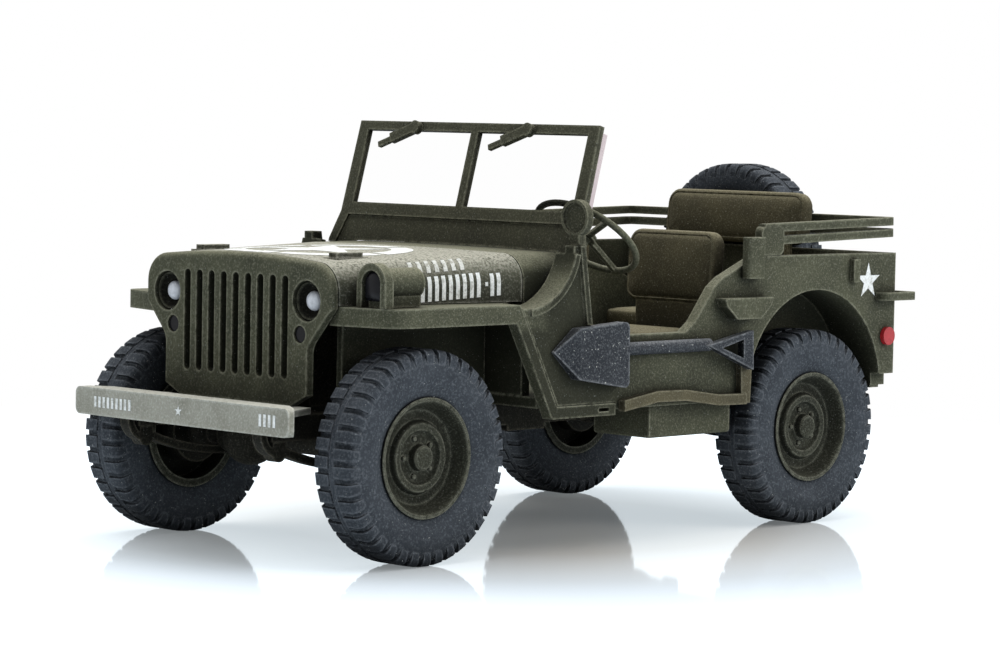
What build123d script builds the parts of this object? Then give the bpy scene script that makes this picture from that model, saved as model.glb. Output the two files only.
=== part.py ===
"""A 1:87 scale model of a small open army 4x4 car, as separate named pieces.

Millimetres, at the model's own size. +X is the car's front, +Y its left (the driver's) side,
+Z up. The origin lies on the ground, midway along the overall length and width.
"""
from math import cos, pi, radians, sin
import os

from build123d import *

os.makedirs("parts", exist_ok=True)

# ---------------------------------------------------------------- wheels and stance
WHEELBASE = 23.36
WHEELBASE_MIDDLE_X = 0.93        # the spare wheel reaches further back than the bumper forward
TRACK = 14.02
TYRE_RADIUS = 4.25
TYRE_WIDTH = 2.12
RIM_RADIUS = 2.30                # the rim's lip
RIM_LIP_REACH = 0.97             # lip's face, outward of the tyre's middle plane
STUB_RADIUS = 0.30
HUB_CLEARANCE = 0.04             # running fit of the hub on its stub
BEAD_CLEARANCE = 0.02            # tyre on rim
DISC_FRONT = 0.42                # wheel disc's face, outward of the tyre's middle plane
DISC_THICKNESS = 0.32
HUB_BORE = STUB_RADIUS + HUB_CLEARANCE
STUB_REACH = 0.55                # stub's end, outward of the tyre's middle plane

FRONT_AXLE_X = WHEELBASE_MIDDLE_X + WHEELBASE / 2
REAR_AXLE_X = WHEELBASE_MIDDLE_X - WHEELBASE / 2
AXLE_Z = TYRE_RADIUS
WHEEL_Y = TRACK / 2

# ---------------------------------------------------------------- frame
RAIL_ABOVE_AXLE = 0.60
RAIL_HEIGHT = 1.00
RAIL_WIDTH = 0.64
FRAME_WIDTH = 8.68
RAIL_BOTTOM_Z = AXLE_Z + RAIL_ABOVE_AXLE
RAIL_TOP_Z = RAIL_BOTTOM_Z + RAIL_HEIGHT
RAIL_Y = (FRAME_WIDTH - RAIL_WIDTH) / 2

# ---------------------------------------------------------------- body tub
WALL = 0.50
FLOOR_THICKNESS = 0.45
BODY_WIDTH = 16.20
SIDE_BELOW_FLOOR = 0.19
SIDE_HEIGHT = 6.12
DOOR_SILL_HEIGHT = 3.02          # above the side's lower edge
BODY_REAR_OVERHANG = 5.49        # rear panel's outer face behind the rear axle
WHEELHOUSE_WIDTH = 10.50         # between the inner faces of the two wheelhouses
ARCH_RADIUS = 4.54
ARCH_CENTRE_ABOVE_AXLE = 1.46

FLOOR_Z = RAIL_TOP_Z
FLOOR_TOP_Z = FLOOR_Z + FLOOR_THICKNESS
BODY_BOTTOM_Z = FLOOR_Z - SIDE_BELOW_FLOOR
BODY_TOP_Z = BODY_BOTTOM_Z + SIDE_HEIGHT
SILL_Z = BODY_BOTTOM_Z + DOOR_SILL_HEIGHT
BODY_SIDE_Y = BODY_WIDTH / 2
BODY_REAR_X = REAR_AXLE_X - BODY_REAR_OVERHANG
ARCH_Z = AXLE_Z + ARCH_CENTRE_ABOVE_AXLE

# ---------------------------------------------------------------- front end
GRILLE_AHEAD = 3.03              # grille's front face ahead of the front axle
GRILLE_THICKNESS = 0.36
GRILLE_WIDTH = 11.20
GRILLE_WAIST_WIDTH = 8.50
HOOD_LENGTH = 8.95
HOOD_REAR_WIDTH = 13.50
HOOD_FRONT_TOP = 7.75            # above the axles
HOOD_REAR_TOP = 7.84
HOOD_SKIN = 0.40
HOOD_FRONT_CROWN = 0.34          # middle of the hood above its shoulders
HOOD_REAR_CROWN = 0.08
HOOD_SHOULDER_RADIUS = 1.15
SEAM = 0.06                      # panel gap between hood, grille and cowl
COWL_LENGTH = 3.05
COWL_REAR_WIDTH = 14.00
FENDER_TOP_ABOVE_AXLE = 5.84
FENDER_THICKNESS = 0.35
FENDER_LIP = 0.75
FENDER_LIP_THICKNESS = 0.30
FENDER_WIDTH = 16.30             # over both fenders
FENDER_KINK_BEHIND = 4.85        # kink in the fender's outer edge, behind the front axle
FENDER_FOOT_BEHIND = 7.04
FENDER_CORNER_AHEAD = 1.95       # outer front corner, ahead of the front axle
FENDER_CORNER_RADIUS = 0.70
STEP_END_BEHIND = 10.51
STEP_THICKNESS = 0.50
STEP_ABOVE_SIDE_EDGE = 0.27
STEP_GAP = 0.02                  # fender's step clear of the body's side

GRILLE_X = FRONT_AXLE_X + GRILLE_AHEAD
HOOD_FRONT_X = GRILLE_X - GRILLE_THICKNESS - SEAM
HOOD_REAR_X = HOOD_FRONT_X - HOOD_LENGTH
COWL_FRONT_X = HOOD_REAR_X - SEAM
COWL_REAR_X = COWL_FRONT_X - COWL_LENGTH
FENDER_TOP_Z = AXLE_Z + FENDER_TOP_ABOVE_AXLE
COWL_TOP_Z = AXLE_Z + HOOD_REAR_TOP
FENDER_SIDE_Y = FENDER_WIDTH / 2
STEP_TOP_Z = BODY_BOTTOM_Z + STEP_ABOVE_SIDE_EDGE

# ---------------------------------------------------------------- chassis frame
CROSS_LENGTH = 0.60
CROSS_HEIGHT = 0.60
FRAME_REAR_X = BODY_REAR_X + 0.20
BUMPER_AHEAD = 5.90              # bumper's front face ahead of the front axle
BUMPER_DEPTH = 1.05
BUMPER_LENGTH = 12.90
BUMPER_HEIGHT = 1.11
BUMPER_CORNER = 0.26             # rounding of its face's four corners
BUMPER_END_DEPTH = 0.30          # bar thins to this at both ends
BUMPER_TAPER = 1.10              # over this much of its length
BUMPER_X = FRONT_AXLE_X + BUMPER_AHEAD
BUMPER_BACK_X = BUMPER_X - BUMPER_DEPTH
BUMPER_Z = RAIL_BOTTOM_Z + 0.94
SKID_THICKNESS = 0.25
SKID_LENGTH = 2.2
CROSS_XS = (FRONT_AXLE_X + 4.2, FRONT_AXLE_X - 2.6, REAR_AXLE_X + 5.2, FRAME_REAR_X + 0.9)
SKID_X = FRONT_AXLE_X - 9.2

with BuildPart() as chassis_frame:
    rail_length = BUMPER_BACK_X - FRAME_REAR_X
    with Locations(*[(FRAME_REAR_X, side * RAIL_Y, RAIL_BOTTOM_Z) for side in (-1, 1)]):
        Box(rail_length, RAIL_WIDTH, RAIL_HEIGHT, align=(Align.MIN, Align.CENTER, Align.MIN))
    with Locations(*[(x, 0, RAIL_TOP_Z) for x in CROSS_XS]):
        Box(CROSS_LENGTH, 2 * RAIL_Y, CROSS_HEIGHT, align=(Align.CENTER, Align.CENTER, Align.MAX))
    with Locations((SKID_X, 0, RAIL_BOTTOM_Z)):
        Box(SKID_LENGTH, FRAME_WIDTH, SKID_THICKNESS, align=(Align.CENTER, Align.CENTER, Align.MAX))

# ---------------------------------------------------------------- axles
TUBE_RADIUS = 0.42
DIFF_RADIUS = 1.15
DIFF_Y = -2.40                   # both differentials sit right of the middle
DIFF_COLLAR = 0.68               # radius of the bolted collar either side of it
KNUCKLE_RADIUS = 0.72
KNUCKLE_INSET = 0.45             # knuckle's middle inside the brake drum's inner face
DRUM_RADIUS = 1.30
DRUM_INNER_Y = 5.75
DRUM_DEPTH = 0.75
STUB_END_Y = WHEEL_Y + STUB_REACH
TIE_ROD_RADIUS = 0.16
TIE_ROD_BEHIND = 1.0
STEER_ARM = 0.30


def axle(x, knuckles):
    """Beam axle along Y: tube, differential, brake drums and the stubs that carry the wheels."""
    knuckle_y = DRUM_INNER_Y - KNUCKLE_INSET
    with BuildPart(Plane.XZ) as beam:
        with Locations((x, AXLE_Z, 0)):
            Cylinder(TUBE_RADIUS, 2 * DRUM_INNER_Y + DRUM_DEPTH)
            Cylinder(STUB_RADIUS, 2 * STUB_END_Y)
        with Locations((x, AXLE_Z, -DIFF_Y)):
            Sphere(DIFF_RADIUS)
            Cylinder(DIFF_COLLAR, 2.4 * DIFF_RADIUS)
        with Locations(*[(x, AXLE_Z, side * (DRUM_INNER_Y + DRUM_DEPTH / 2)) for side in (-1, 1)]):
            Cylinder(DRUM_RADIUS, DRUM_DEPTH)
        if knuckles:
            with Locations(*[(x, AXLE_Z, side * knuckle_y) for side in (-1, 1)]):
                Sphere(KNUCKLE_RADIUS)
            with Locations((x - TIE_ROD_BEHIND, AXLE_Z, 0)):
                Cylinder(TIE_ROD_RADIUS, 2 * knuckle_y)
            with Locations(*[(x - TIE_ROD_BEHIND / 2, AXLE_Z, side * knuckle_y) for side in (-1, 1)]):
                Box(TIE_ROD_BEHIND, STEER_ARM, STEER_ARM)
    return beam


front_axle = axle(FRONT_AXLE_X, knuckles=True)
rear_axle = axle(REAR_AXLE_X, knuckles=False)

# ---------------------------------------------------------------- leaf springs and shackles
SPRING_HALF_SPAN = 4.40
SPRING_THICKNESS = 0.34
SPRING_WIDTH = 0.55
SPRING_HANGER = 0.45             # spring end below the rail
SHACKLE_LENGTH = 0.70
SPRING_LOW_Z = AXLE_Z - TUBE_RADIUS - SPRING_THICKNESS
SPRING_END_Z = RAIL_BOTTOM_Z - SPRING_HANGER
HORN_TOP = (BUMPER_X - 0.55, BUMPER_Z - BUMPER_HEIGHT / 2 - 0.06)
HORN_MIDDLE = (BUMPER_X - 0.73, SPRING_END_Z + 0.22)
HORN_FOOT = (FRONT_AXLE_X + SPRING_HALF_SPAN, SPRING_END_Z - 0.16)
HORN_THICKNESS = 0.30

with BuildPart() as leaf_springs:
    for axle_x in (FRONT_AXLE_X, REAR_AXLE_X):
        for side in (-1, 1):
            with BuildSketch(Plane.XZ.offset(side * RAIL_Y - SPRING_WIDTH / 2)):
                with BuildLine():
                    low = ThreePointArc((axle_x - SPRING_HALF_SPAN, SPRING_END_Z),
                                        (axle_x, SPRING_LOW_Z),
                                        (axle_x + SPRING_HALF_SPAN, SPRING_END_Z))
                    high = ThreePointArc((axle_x - SPRING_HALF_SPAN, SPRING_END_Z + SPRING_THICKNESS),
                                         (axle_x, SPRING_LOW_Z + SPRING_THICKNESS),
                                         (axle_x + SPRING_HALF_SPAN, SPRING_END_Z + SPRING_THICKNESS))
                    Line(low @ 0, high @ 0)
                    Line(low @ 1, high @ 1)
                make_face()
                for end in (-1, 1):
                    with Locations((axle_x + end * SPRING_HALF_SPAN, RAIL_BOTTOM_Z)):
                        Rectangle(SHACKLE_LENGTH, SPRING_HANGER, align=(Align.CENTER, Align.MAX))
                    with Locations((axle_x + end * SPRING_HALF_SPAN, SPRING_END_Z)):
                        Circle(SHACKLE_LENGTH / 2)
            extrude(amount=SPRING_WIDTH)
    # curved horns from the front shackles up to the bumper
    for side in (-1, 1):
        with BuildSketch(Plane.XZ.offset(side * RAIL_Y - SPRING_WIDTH / 2)):
            with BuildLine():
                low = ThreePointArc(HORN_TOP, HORN_MIDDLE, HORN_FOOT)
                offset(low, amount=HORN_THICKNESS, side=Side.RIGHT)
            make_face()
        extrude(amount=SPRING_WIDTH)

# ---------------------------------------------------------------- engine, gearbox, shafts
ENGINE_LENGTH = 5.6
ENGINE_WIDTH = 3.8
ENGINE_HEIGHT = 4.9
ENGINE_BEHIND = 1.3              # engine's middle behind the front axle
GEARBOX_Y = -0.5
GEARBOX_WIDTH = 3.2
GEARBOX_GAP = 0.05               # under the floor
BELL_HEIGHT = 2.6
BELL_GAP = 0.15                  # ahead of the firewall
GEARBOX_BEHIND = 10.7
SHAFT_RADIUS = 0.22
ENGINE_X = FRONT_AXLE_X - ENGINE_BEHIND
BELL_FRONT_X = ENGINE_X - ENGINE_LENGTH / 2
BELL_REAR_X = COWL_FRONT_X + BELL_GAP
GEARBOX_REAR_X = FRONT_AXLE_X - GEARBOX_BEHIND

with BuildPart() as engine_block:
    with Locations((ENGINE_X, 0, RAIL_TOP_Z)):
        Box(ENGINE_LENGTH, ENGINE_WIDTH, ENGINE_HEIGHT,
            align=(Align.CENTER, Align.CENTER, Align.MIN))

with BuildPart() as gearbox:
    with Locations((BELL_FRONT_X, GEARBOX_Y, RAIL_BOTTOM_Z)):
        Box(BELL_FRONT_X - BELL_REAR_X, GEARBOX_WIDTH, BELL_HEIGHT,
            align=(Align.MAX, Align.CENTER, Align.MIN))
        Box(BELL_FRONT_X - GEARBOX_REAR_X, GEARBOX_WIDTH, RAIL_HEIGHT - GEARBOX_GAP,
            align=(Align.MAX, Align.CENTER, Align.MIN))

SHAFT_GAP = 0.05
SHAFT_Z = RAIL_BOTTOM_Z + 0.30
SHAFT_Y = GEARBOX_Y - GEARBOX_WIDTH / 2 + 2 * SHAFT_RADIUS
FRONT_SHAFT_X = BELL_FRONT_X + SHAFT_GAP
SHAFT_ENDS = (                   # gearbox end, axle end
    ((FRONT_SHAFT_X, SHAFT_Y, SHAFT_Z), (FRONT_AXLE_X - DIFF_RADIUS - SHAFT_GAP, DIFF_Y, AXLE_Z)),
    ((GEARBOX_REAR_X - SHAFT_GAP, SHAFT_Y, SHAFT_Z),
     (REAR_AXLE_X + DIFF_RADIUS + SHAFT_GAP, DIFF_Y, AXLE_Z)),
)
with BuildPart() as driveshafts:
    for start, end in SHAFT_ENDS:
        run = Vector(*end) - Vector(*start)
        with BuildSketch(Plane(origin=start, z_dir=run)):
            Circle(SHAFT_RADIUS)
        extrude(amount=run.length)

MUFFLER_RADIUS = 0.52
MUFFLER_LENGTH = 3.6
MUFFLER_Y = -5.6
MUFFLER_X = REAR_AXLE_X + 8.2
MUFFLER_GAP = 0.03               # under the floor
PIPE_RADIUS = 0.18
PIPE_LENGTH = 5.4
TAILPIPE_FROM_END = 0.5
with BuildPart() as exhaust:
    muffler_z = FLOOR_Z - MUFFLER_RADIUS - MUFFLER_GAP
    with BuildSketch(Plane.YZ.offset(MUFFLER_X - MUFFLER_LENGTH / 2)):
        with Locations((MUFFLER_Y, muffler_z)):
            Circle(MUFFLER_RADIUS)
    extrude(amount=MUFFLER_LENGTH)
    with BuildSketch(Plane.YZ.offset(MUFFLER_X)):
        with Locations((MUFFLER_Y, muffler_z)):
            Circle(PIPE_RADIUS)
    extrude(amount=PIPE_LENGTH)
    with BuildSketch(Plane.XZ.offset(-MUFFLER_Y)):
        with Locations((MUFFLER_X - MUFFLER_LENGTH / 2 + TAILPIPE_FROM_END, muffler_z)):
            Circle(PIPE_RADIUS)
    extrude(amount=BODY_SIDE_Y - WALL + MUFFLER_Y)

TANK_LENGTH = 5.1
TANK_AHEAD = 7.55                # tank's middle ahead of the rear axle
TANK_BELOW_FLOOR = 1.60
TANK_GAP = 0.06                  # beside the rail and inside the body's wall
TANK_EDGE = 0.15
with BuildPart() as fuel_tank:
    tank_inner_y = FRAME_WIDTH / 2 + TANK_GAP
    tank_outer_y = BODY_SIDE_Y - WALL - TANK_GAP
    with Locations((REAR_AXLE_X + TANK_AHEAD, tank_inner_y, FLOOR_Z)):
        Box(TANK_LENGTH, tank_outer_y - tank_inner_y, TANK_BELOW_FLOOR,
            align=(Align.CENTER, Align.MIN, Align.MAX))
    fillet(fuel_tank.edges().group_by(Axis.Z)[0], TANK_EDGE)

# ---------------------------------------------------------------- bumpers and tow hook
GUSSET_LENGTH = 2.0
GUSSET_HEIGHT = 0.25
GUSSET_LAP = 0.28                # gusset's run into the bar
with BuildPart() as front_bumper:
    # bar whose back tapers away towards its ends
    with BuildSketch(Plane.XY.offset(BUMPER_Z - BUMPER_HEIGHT / 2)):
        with BuildLine():
            Polyline((BUMPER_X, BUMPER_LENGTH / 2), (BUMPER_X - BUMPER_END_DEPTH, BUMPER_LENGTH / 2),
                     (BUMPER_BACK_X, BUMPER_LENGTH / 2 - BUMPER_TAPER),
                     (BUMPER_BACK_X, BUMPER_TAPER - BUMPER_LENGTH / 2),
                     (BUMPER_X - BUMPER_END_DEPTH, -BUMPER_LENGTH / 2), (BUMPER_X, -BUMPER_LENGTH / 2),
                     close=True)
        make_face()
    extrude(amount=BUMPER_HEIGHT)
    fillet(front_bumper.edges().filter_by(Axis.X), BUMPER_CORNER)
    # flat gussets from the bar back onto the rails
    with BuildSketch(Plane.XY.offset(RAIL_TOP_Z)):
        for side in (-1, 1):
            with BuildLine():
                Polyline((BUMPER_BACK_X + GUSSET_LAP, side * (RAIL_Y - RAIL_WIDTH / 2)),
                         (BUMPER_BACK_X - GUSSET_LENGTH, side * (RAIL_Y - RAIL_WIDTH / 2)),
                         (BUMPER_BACK_X - GUSSET_LENGTH, side * (RAIL_Y + RAIL_WIDTH / 2)),
                         (BUMPER_BACK_X + GUSSET_LAP, side * (BUMPER_LENGTH / 2 - BUMPER_TAPER)),
                         close=True)
            make_face()
    extrude(amount=GUSSET_HEIGHT)

BUMPERETTE_REACH = 0.75
BUMPERETTE_WALL = 0.22
BUMPERETTE_WIDTH = 2.6
BUMPERETTE_Y = 5.5
BUMPERETTE_HEIGHT = 0.78
BUMPERETTE_Z = BODY_BOTTOM_Z - 0.02
with BuildPart() as bumperettes:
    for side in (-1, 1):
        with BuildSketch(Plane.XY.offset(BUMPERETTE_Z)):
            with Locations((BODY_REAR_X, side * BUMPERETTE_Y)):
                Rectangle(2 * BUMPERETTE_REACH, BUMPERETTE_WIDTH)
                Rectangle(2 * (BUMPERETTE_REACH - BUMPERETTE_WALL),
                          BUMPERETTE_WIDTH - 2 * BUMPERETTE_WALL, mode=Mode.SUBTRACT)
            with Locations((BODY_REAR_X, side * BUMPERETTE_Y)):
                Rectangle(2 * BUMPERETTE_REACH, BUMPERETTE_WIDTH + 1,
                          align=(Align.MIN, Align.CENTER), mode=Mode.SUBTRACT)
        extrude(amount=BUMPERETTE_HEIGHT)
    fillet(bumperettes.edges().filter_by(Axis.Z).group_by(Axis.X)[0], 0.9 * BUMPERETTE_WALL)

HOOK_Z = RAIL_BOTTOM_Z + 0.55
HOOK_REACH = 1.45
HOOK_EYE_RADIUS = 0.30
HOOK_THICKNESS = 0.36
HOOK_PLATE = 0.30                # depth of the drawbar plate behind the frame
HOOK_PLATE_HEIGHT = 0.90
with BuildPart() as tow_hook:
    with Locations((FRAME_REAR_X, 0, HOOK_Z)):
        Box(HOOK_PLATE, 2 * RAIL_Y + RAIL_WIDTH, HOOK_PLATE_HEIGHT,
            align=(Align.MAX, Align.CENTER, Align.CENTER))
    with BuildSketch(Plane.XY.offset(HOOK_Z - HOOK_THICKNESS / 2)):
        with Locations((FRAME_REAR_X - HOOK_REACH, 0)):
            Circle(2 * HOOK_EYE_RADIUS)
        with Locations((FRAME_REAR_X, 0)):
            Rectangle(HOOK_REACH, 2 * HOOK_EYE_RADIUS, align=(Align.MAX, Align.CENTER))
        with Locations((FRAME_REAR_X - HOOK_REACH, 0)):
            Circle(HOOK_EYE_RADIUS, mode=Mode.SUBTRACT)
    extrude(amount=HOOK_THICKNESS)

# ---------------------------------------------------------------- body tub
STEP_END_X = FRONT_AXLE_X - STEP_END_BEHIND
FENDER_KINK_X = FRONT_AXLE_X - FENDER_KINK_BEHIND
FENDER_FOOT_X = FRONT_AXLE_X - FENDER_FOOT_BEHIND
POST_AHEAD = 0.48                # door post's rear edge at its foot, ahead of the cowl's rear
POST_X = COWL_REAR_X + POST_AHEAD
POST_LEAN = 0.50                 # its top lies this far ahead of its foot
POST_TOP_WIDTH = 0.55
POST_TOP_Z = COWL_TOP_Z + 0.30
POST_CORNER = 0.50
DOOR_SLOPE = (                   # door opening's rear edge: ahead of the rear axle, height over sill
    (8.56, 0.00), (7.98, 0.40), (6.82, 1.84), (6.22, 2.24), (4.70, 2.86),
)
SIDE_TOP_AHEAD = 4.10            # front end of the side's top edge, ahead of the rear axle
SIDE_TAIL_RISE = 0.73            # side's lower corner behind the arch, over the side's lower edge
SIDE_ARCH_RISE = 0.60
SIDE_TAPER = 0.60                # run over which the lower edge rises to that, ahead of the arch
SHOULDER_LOW_Z = FENDER_TOP_Z - 0.18
SHOULDER_TOP = (POST_X + POST_LEAN + POST_TOP_WIDTH, COWL_TOP_Z)
SHOULDER_MIDDLE = (SHOULDER_TOP[0] + 0.62, COWL_TOP_Z - 1.24)
SHOULDER_FOOT = (SHOULDER_TOP[0] + 2.50, SHOULDER_LOW_Z)
FLANGE_WIDTH = 0.30              # rolled edge along the cowl's shoulder and the door post
FLANGE_PROUD = 0.12
COVE_INNER_Y = COWL_REAR_WIDTH / 2 + 0.04
SPARE_Y = -2.07
SPARE_Z = BODY_TOP_Z - 0.51
SPARE_GAP = 0.16                 # tyre off the rear panel
SPARE_X = BODY_REAR_X - SPARE_GAP - TYRE_WIDTH / 2
CARRIER_RADIUS = 0.45            # boss that holds the spare wheel off the rear panel
CARRIER_PLATE = 0.95
CARRIER_PLATE_THICKNESS = 0.12
LEVER_RADIUS = 0.12
LEVER_HEIGHT = 2.9
LEVERS = ((1.5, 0.75), (1.3, 0.15), (1.3, -0.30))    # behind the cowl's rear edge, y

with BuildPart() as body_tub:
    # side wall, then its mirror
    with BuildSketch(Plane.XZ.offset(-BODY_SIDE_Y)):
        with BuildLine():
            shoulder = ThreePointArc(SHOULDER_TOP, SHOULDER_MIDDLE, SHOULDER_FOOT)
            Polyline(
                shoulder @ 1, (FENDER_KINK_X - 0.16, SHOULDER_LOW_Z),
                (FENDER_FOOT_X - 0.08, STEP_TOP_Z + STEP_GAP),
                (STEP_END_X - STEP_GAP, STEP_TOP_Z + STEP_GAP), (STEP_END_X - STEP_GAP, BODY_BOTTOM_Z),
                (REAR_AXLE_X + ARCH_RADIUS + SIDE_TAPER, BODY_BOTTOM_Z),
                (REAR_AXLE_X + ARCH_RADIUS, BODY_BOTTOM_Z + SIDE_ARCH_RISE),
                (REAR_AXLE_X - ARCH_RADIUS, BODY_BOTTOM_Z + SIDE_TAIL_RISE),
                (BODY_REAR_X, BODY_BOTTOM_Z + SIDE_TAIL_RISE), (BODY_REAR_X, BODY_TOP_Z),
                (REAR_AXLE_X + SIDE_TOP_AHEAD, BODY_TOP_Z),
                *[(REAR_AXLE_X + x, SILL_Z + z) for x, z in reversed(DOOR_SLOPE)],
                (POST_X - POST_CORNER, SILL_Z), (POST_X, SILL_Z + POST_CORNER),
                (POST_X + POST_LEAN, POST_TOP_Z),
                (POST_X + POST_LEAN + POST_TOP_WIDTH, POST_TOP_Z), shoulder @ 0)
        make_face()
        with Locations((REAR_AXLE_X, ARCH_Z)):
            Circle(ARCH_RADIUS, mode=Mode.SUBTRACT)
            Rectangle(2 * ARCH_RADIUS, ARCH_Z, align=(Align.CENTER, Align.MAX), mode=Mode.SUBTRACT)
    extrude(amount=WALL)
    # the shoulder's rolled edge stands proud of the side and runs inboard as a cove
    with BuildSketch(Plane.XZ.offset(-BODY_SIDE_Y - FLANGE_PROUD)):
        with BuildLine():
            curve = ThreePointArc(SHOULDER_TOP, SHOULDER_MIDDLE, SHOULDER_FOOT)
            offset(curve, amount=FLANGE_WIDTH, side=Side.RIGHT)
        make_face()
    extrude(amount=BODY_SIDE_Y + FLANGE_PROUD - COVE_INNER_Y)
    with BuildSketch(Plane.XZ.offset(-BODY_SIDE_Y)):
        with BuildLine():
            Polyline((POST_X, SILL_Z + POST_CORNER), (POST_X + POST_LEAN, POST_TOP_Z),
                     (POST_X + POST_LEAN + FLANGE_WIDTH, POST_TOP_Z),
                     (POST_X + FLANGE_WIDTH, SILL_Z + POST_CORNER), close=True)
        make_face()
    extrude(amount=-FLANGE_PROUD)
    # wheelhouse: inner wall, and a roof with two ends between it and the side
    with BuildSketch(Plane.XZ.offset(-(BODY_SIDE_Y - WALL))):
        with Locations((REAR_AXLE_X, ARCH_Z)):
            Circle(ARCH_RADIUS + WALL)
            Rectangle(2 * (ARCH_RADIUS + WALL), ARCH_Z, align=(Align.CENTER, Align.MAX))
        with Locations((REAR_AXLE_X, FLOOR_Z)):
            Rectangle(4 * ARCH_RADIUS, 4 * ARCH_RADIUS, align=(Align.CENTER, Align.MAX),
                      mode=Mode.SUBTRACT)
    extrude(amount=BODY_SIDE_Y - WALL - WHEELHOUSE_WIDTH / 2)
    with BuildSketch(Plane.XZ.offset(-(BODY_SIDE_Y - WALL))):
        with Locations((REAR_AXLE_X, ARCH_Z)):
            Circle(ARCH_RADIUS)
        with Locations((REAR_AXLE_X, ARCH_Z)):
            Rectangle(2 * ARCH_RADIUS, ARCH_Z, align=(Align.CENTER, Align.MAX))
    extrude(amount=BODY_SIDE_Y - 2 * WALL - WHEELHOUSE_WIDTH / 2, mode=Mode.SUBTRACT)
    mirror(about=Plane.XZ)
    # floor between the wheelhouses and forward of them, and the rear panel
    with BuildSketch(Plane.XY.offset(FLOOR_Z)):
        with Locations((BODY_REAR_X, 0)):
            Rectangle(COWL_FRONT_X - BODY_REAR_X, WHEELHOUSE_WIDTH, align=(Align.MIN, Align.CENTER))
        with Locations((REAR_AXLE_X + ARCH_RADIUS, 0)):
            Rectangle(COWL_FRONT_X - REAR_AXLE_X - ARCH_RADIUS, BODY_WIDTH - 2 * WALL,
                      align=(Align.MIN, Align.CENTER))
        with Locations((BODY_REAR_X, 0)):
            Rectangle(BODY_REAR_OVERHANG - ARCH_RADIUS, BODY_WIDTH - 2 * WALL,
                      align=(Align.MIN, Align.CENTER))
    extrude(amount=FLOOR_THICKNESS)
    with BuildSketch(Plane.YZ.offset(BODY_REAR_X)):
        with Locations((0, FLOOR_Z)):
            Rectangle(BODY_WIDTH - 2 * WALL, BODY_TOP_Z - FLOOR_Z, align=(Align.CENTER, Align.MIN))
    extrude(amount=WALL)
    # boss and plate that carry the spare wheel, and the levers that stand on the floor
    with BuildSketch(Plane.YZ.offset(BODY_REAR_X)):
        with Locations((SPARE_Y, SPARE_Z)):
            Rectangle(2 * CARRIER_PLATE, CARRIER_PLATE)
    extrude(amount=-CARRIER_PLATE_THICKNESS)
    with BuildSketch(Plane.YZ.offset(BODY_REAR_X)):
        with Locations((SPARE_Y, SPARE_Z)):
            Circle(CARRIER_RADIUS)
    extrude(amount=-(BODY_REAR_X - SPARE_X + DISC_FRONT - DISC_THICKNESS - HUB_CLEARANCE))
    with BuildSketch(Plane.YZ.offset(BODY_REAR_X)):
        with Locations((SPARE_Y, SPARE_Z)):
            Circle(STUB_RADIUS)
    extrude(amount=-(BODY_REAR_X - SPARE_X + STUB_REACH))
    with Locations(*[(COWL_REAR_X - x, y, FLOOR_TOP_Z) for x, y in LEVERS]):
        Cylinder(LEVER_RADIUS, LEVER_HEIGHT, align=(Align.CENTER, Align.CENTER, Align.MIN))

# ---------------------------------------------------------------- cowl and dashboard
FIREWALL = 0.45
DASH_THICKNESS = 0.40
COWL_BOTTOM_Z = FENDER_TOP_Z - 0.20
COWL_SECTIONS = (                # x, width, top, crown
    (COWL_FRONT_X, HOOD_REAR_WIDTH, COWL_TOP_Z, HOOD_REAR_CROWN),
    (COWL_REAR_X, COWL_REAR_WIDTH, COWL_TOP_Z, HOOD_REAR_CROWN),
)


def crowned_section(x, width, top, crown, bottom, skin=0.0):
    """Upright section with a crowned top and rounded shoulders, shrunk by a skin."""
    half, shoulder_z = width / 2 - skin, top - crown - skin
    with BuildSketch(Plane.YZ.offset(x)) as section:
        with BuildLine():
            ThreePointArc((-half, shoulder_z), (0, top - skin), (half, shoulder_z))
            Polyline((half, shoulder_z), (half, bottom - skin), (-half, bottom - skin),
                     (-half, shoulder_z))
        make_face()
        fillet(vertices().group_by(Axis.Y)[-1], HOOD_SHOULDER_RADIUS - skin)
    return section.sketch


with BuildPart() as cowl:
    loft([crowned_section(*section, COWL_BOTTOM_Z) for section in COWL_SECTIONS])
    # footwell and the space behind the dashboard, open below
    with BuildSketch(Plane.YZ.offset(COWL_FRONT_X - FIREWALL)):
        with Locations((0, COWL_BOTTOM_Z - 1)):
            Rectangle(HOOD_REAR_WIDTH - 2 * WALL, COWL_TOP_Z - WALL - COWL_BOTTOM_Z + 1,
                      align=(Align.CENTER, Align.MIN))
        fillet(vertices().group_by(Axis.Y)[-1], HOOD_SHOULDER_RADIUS - WALL)
    extrude(amount=-(COWL_LENGTH - FIREWALL - DASH_THICKNESS), mode=Mode.SUBTRACT)
    # firewall down to the floor
    with BuildSketch(Plane.YZ.offset(COWL_FRONT_X - FIREWALL)):
        with Locations((0, FLOOR_TOP_Z)):
            Rectangle(HOOD_REAR_WIDTH, COWL_BOTTOM_Z - FLOOR_TOP_Z, align=(Align.CENTER, Align.MIN))
    extrude(amount=FIREWALL)

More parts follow.
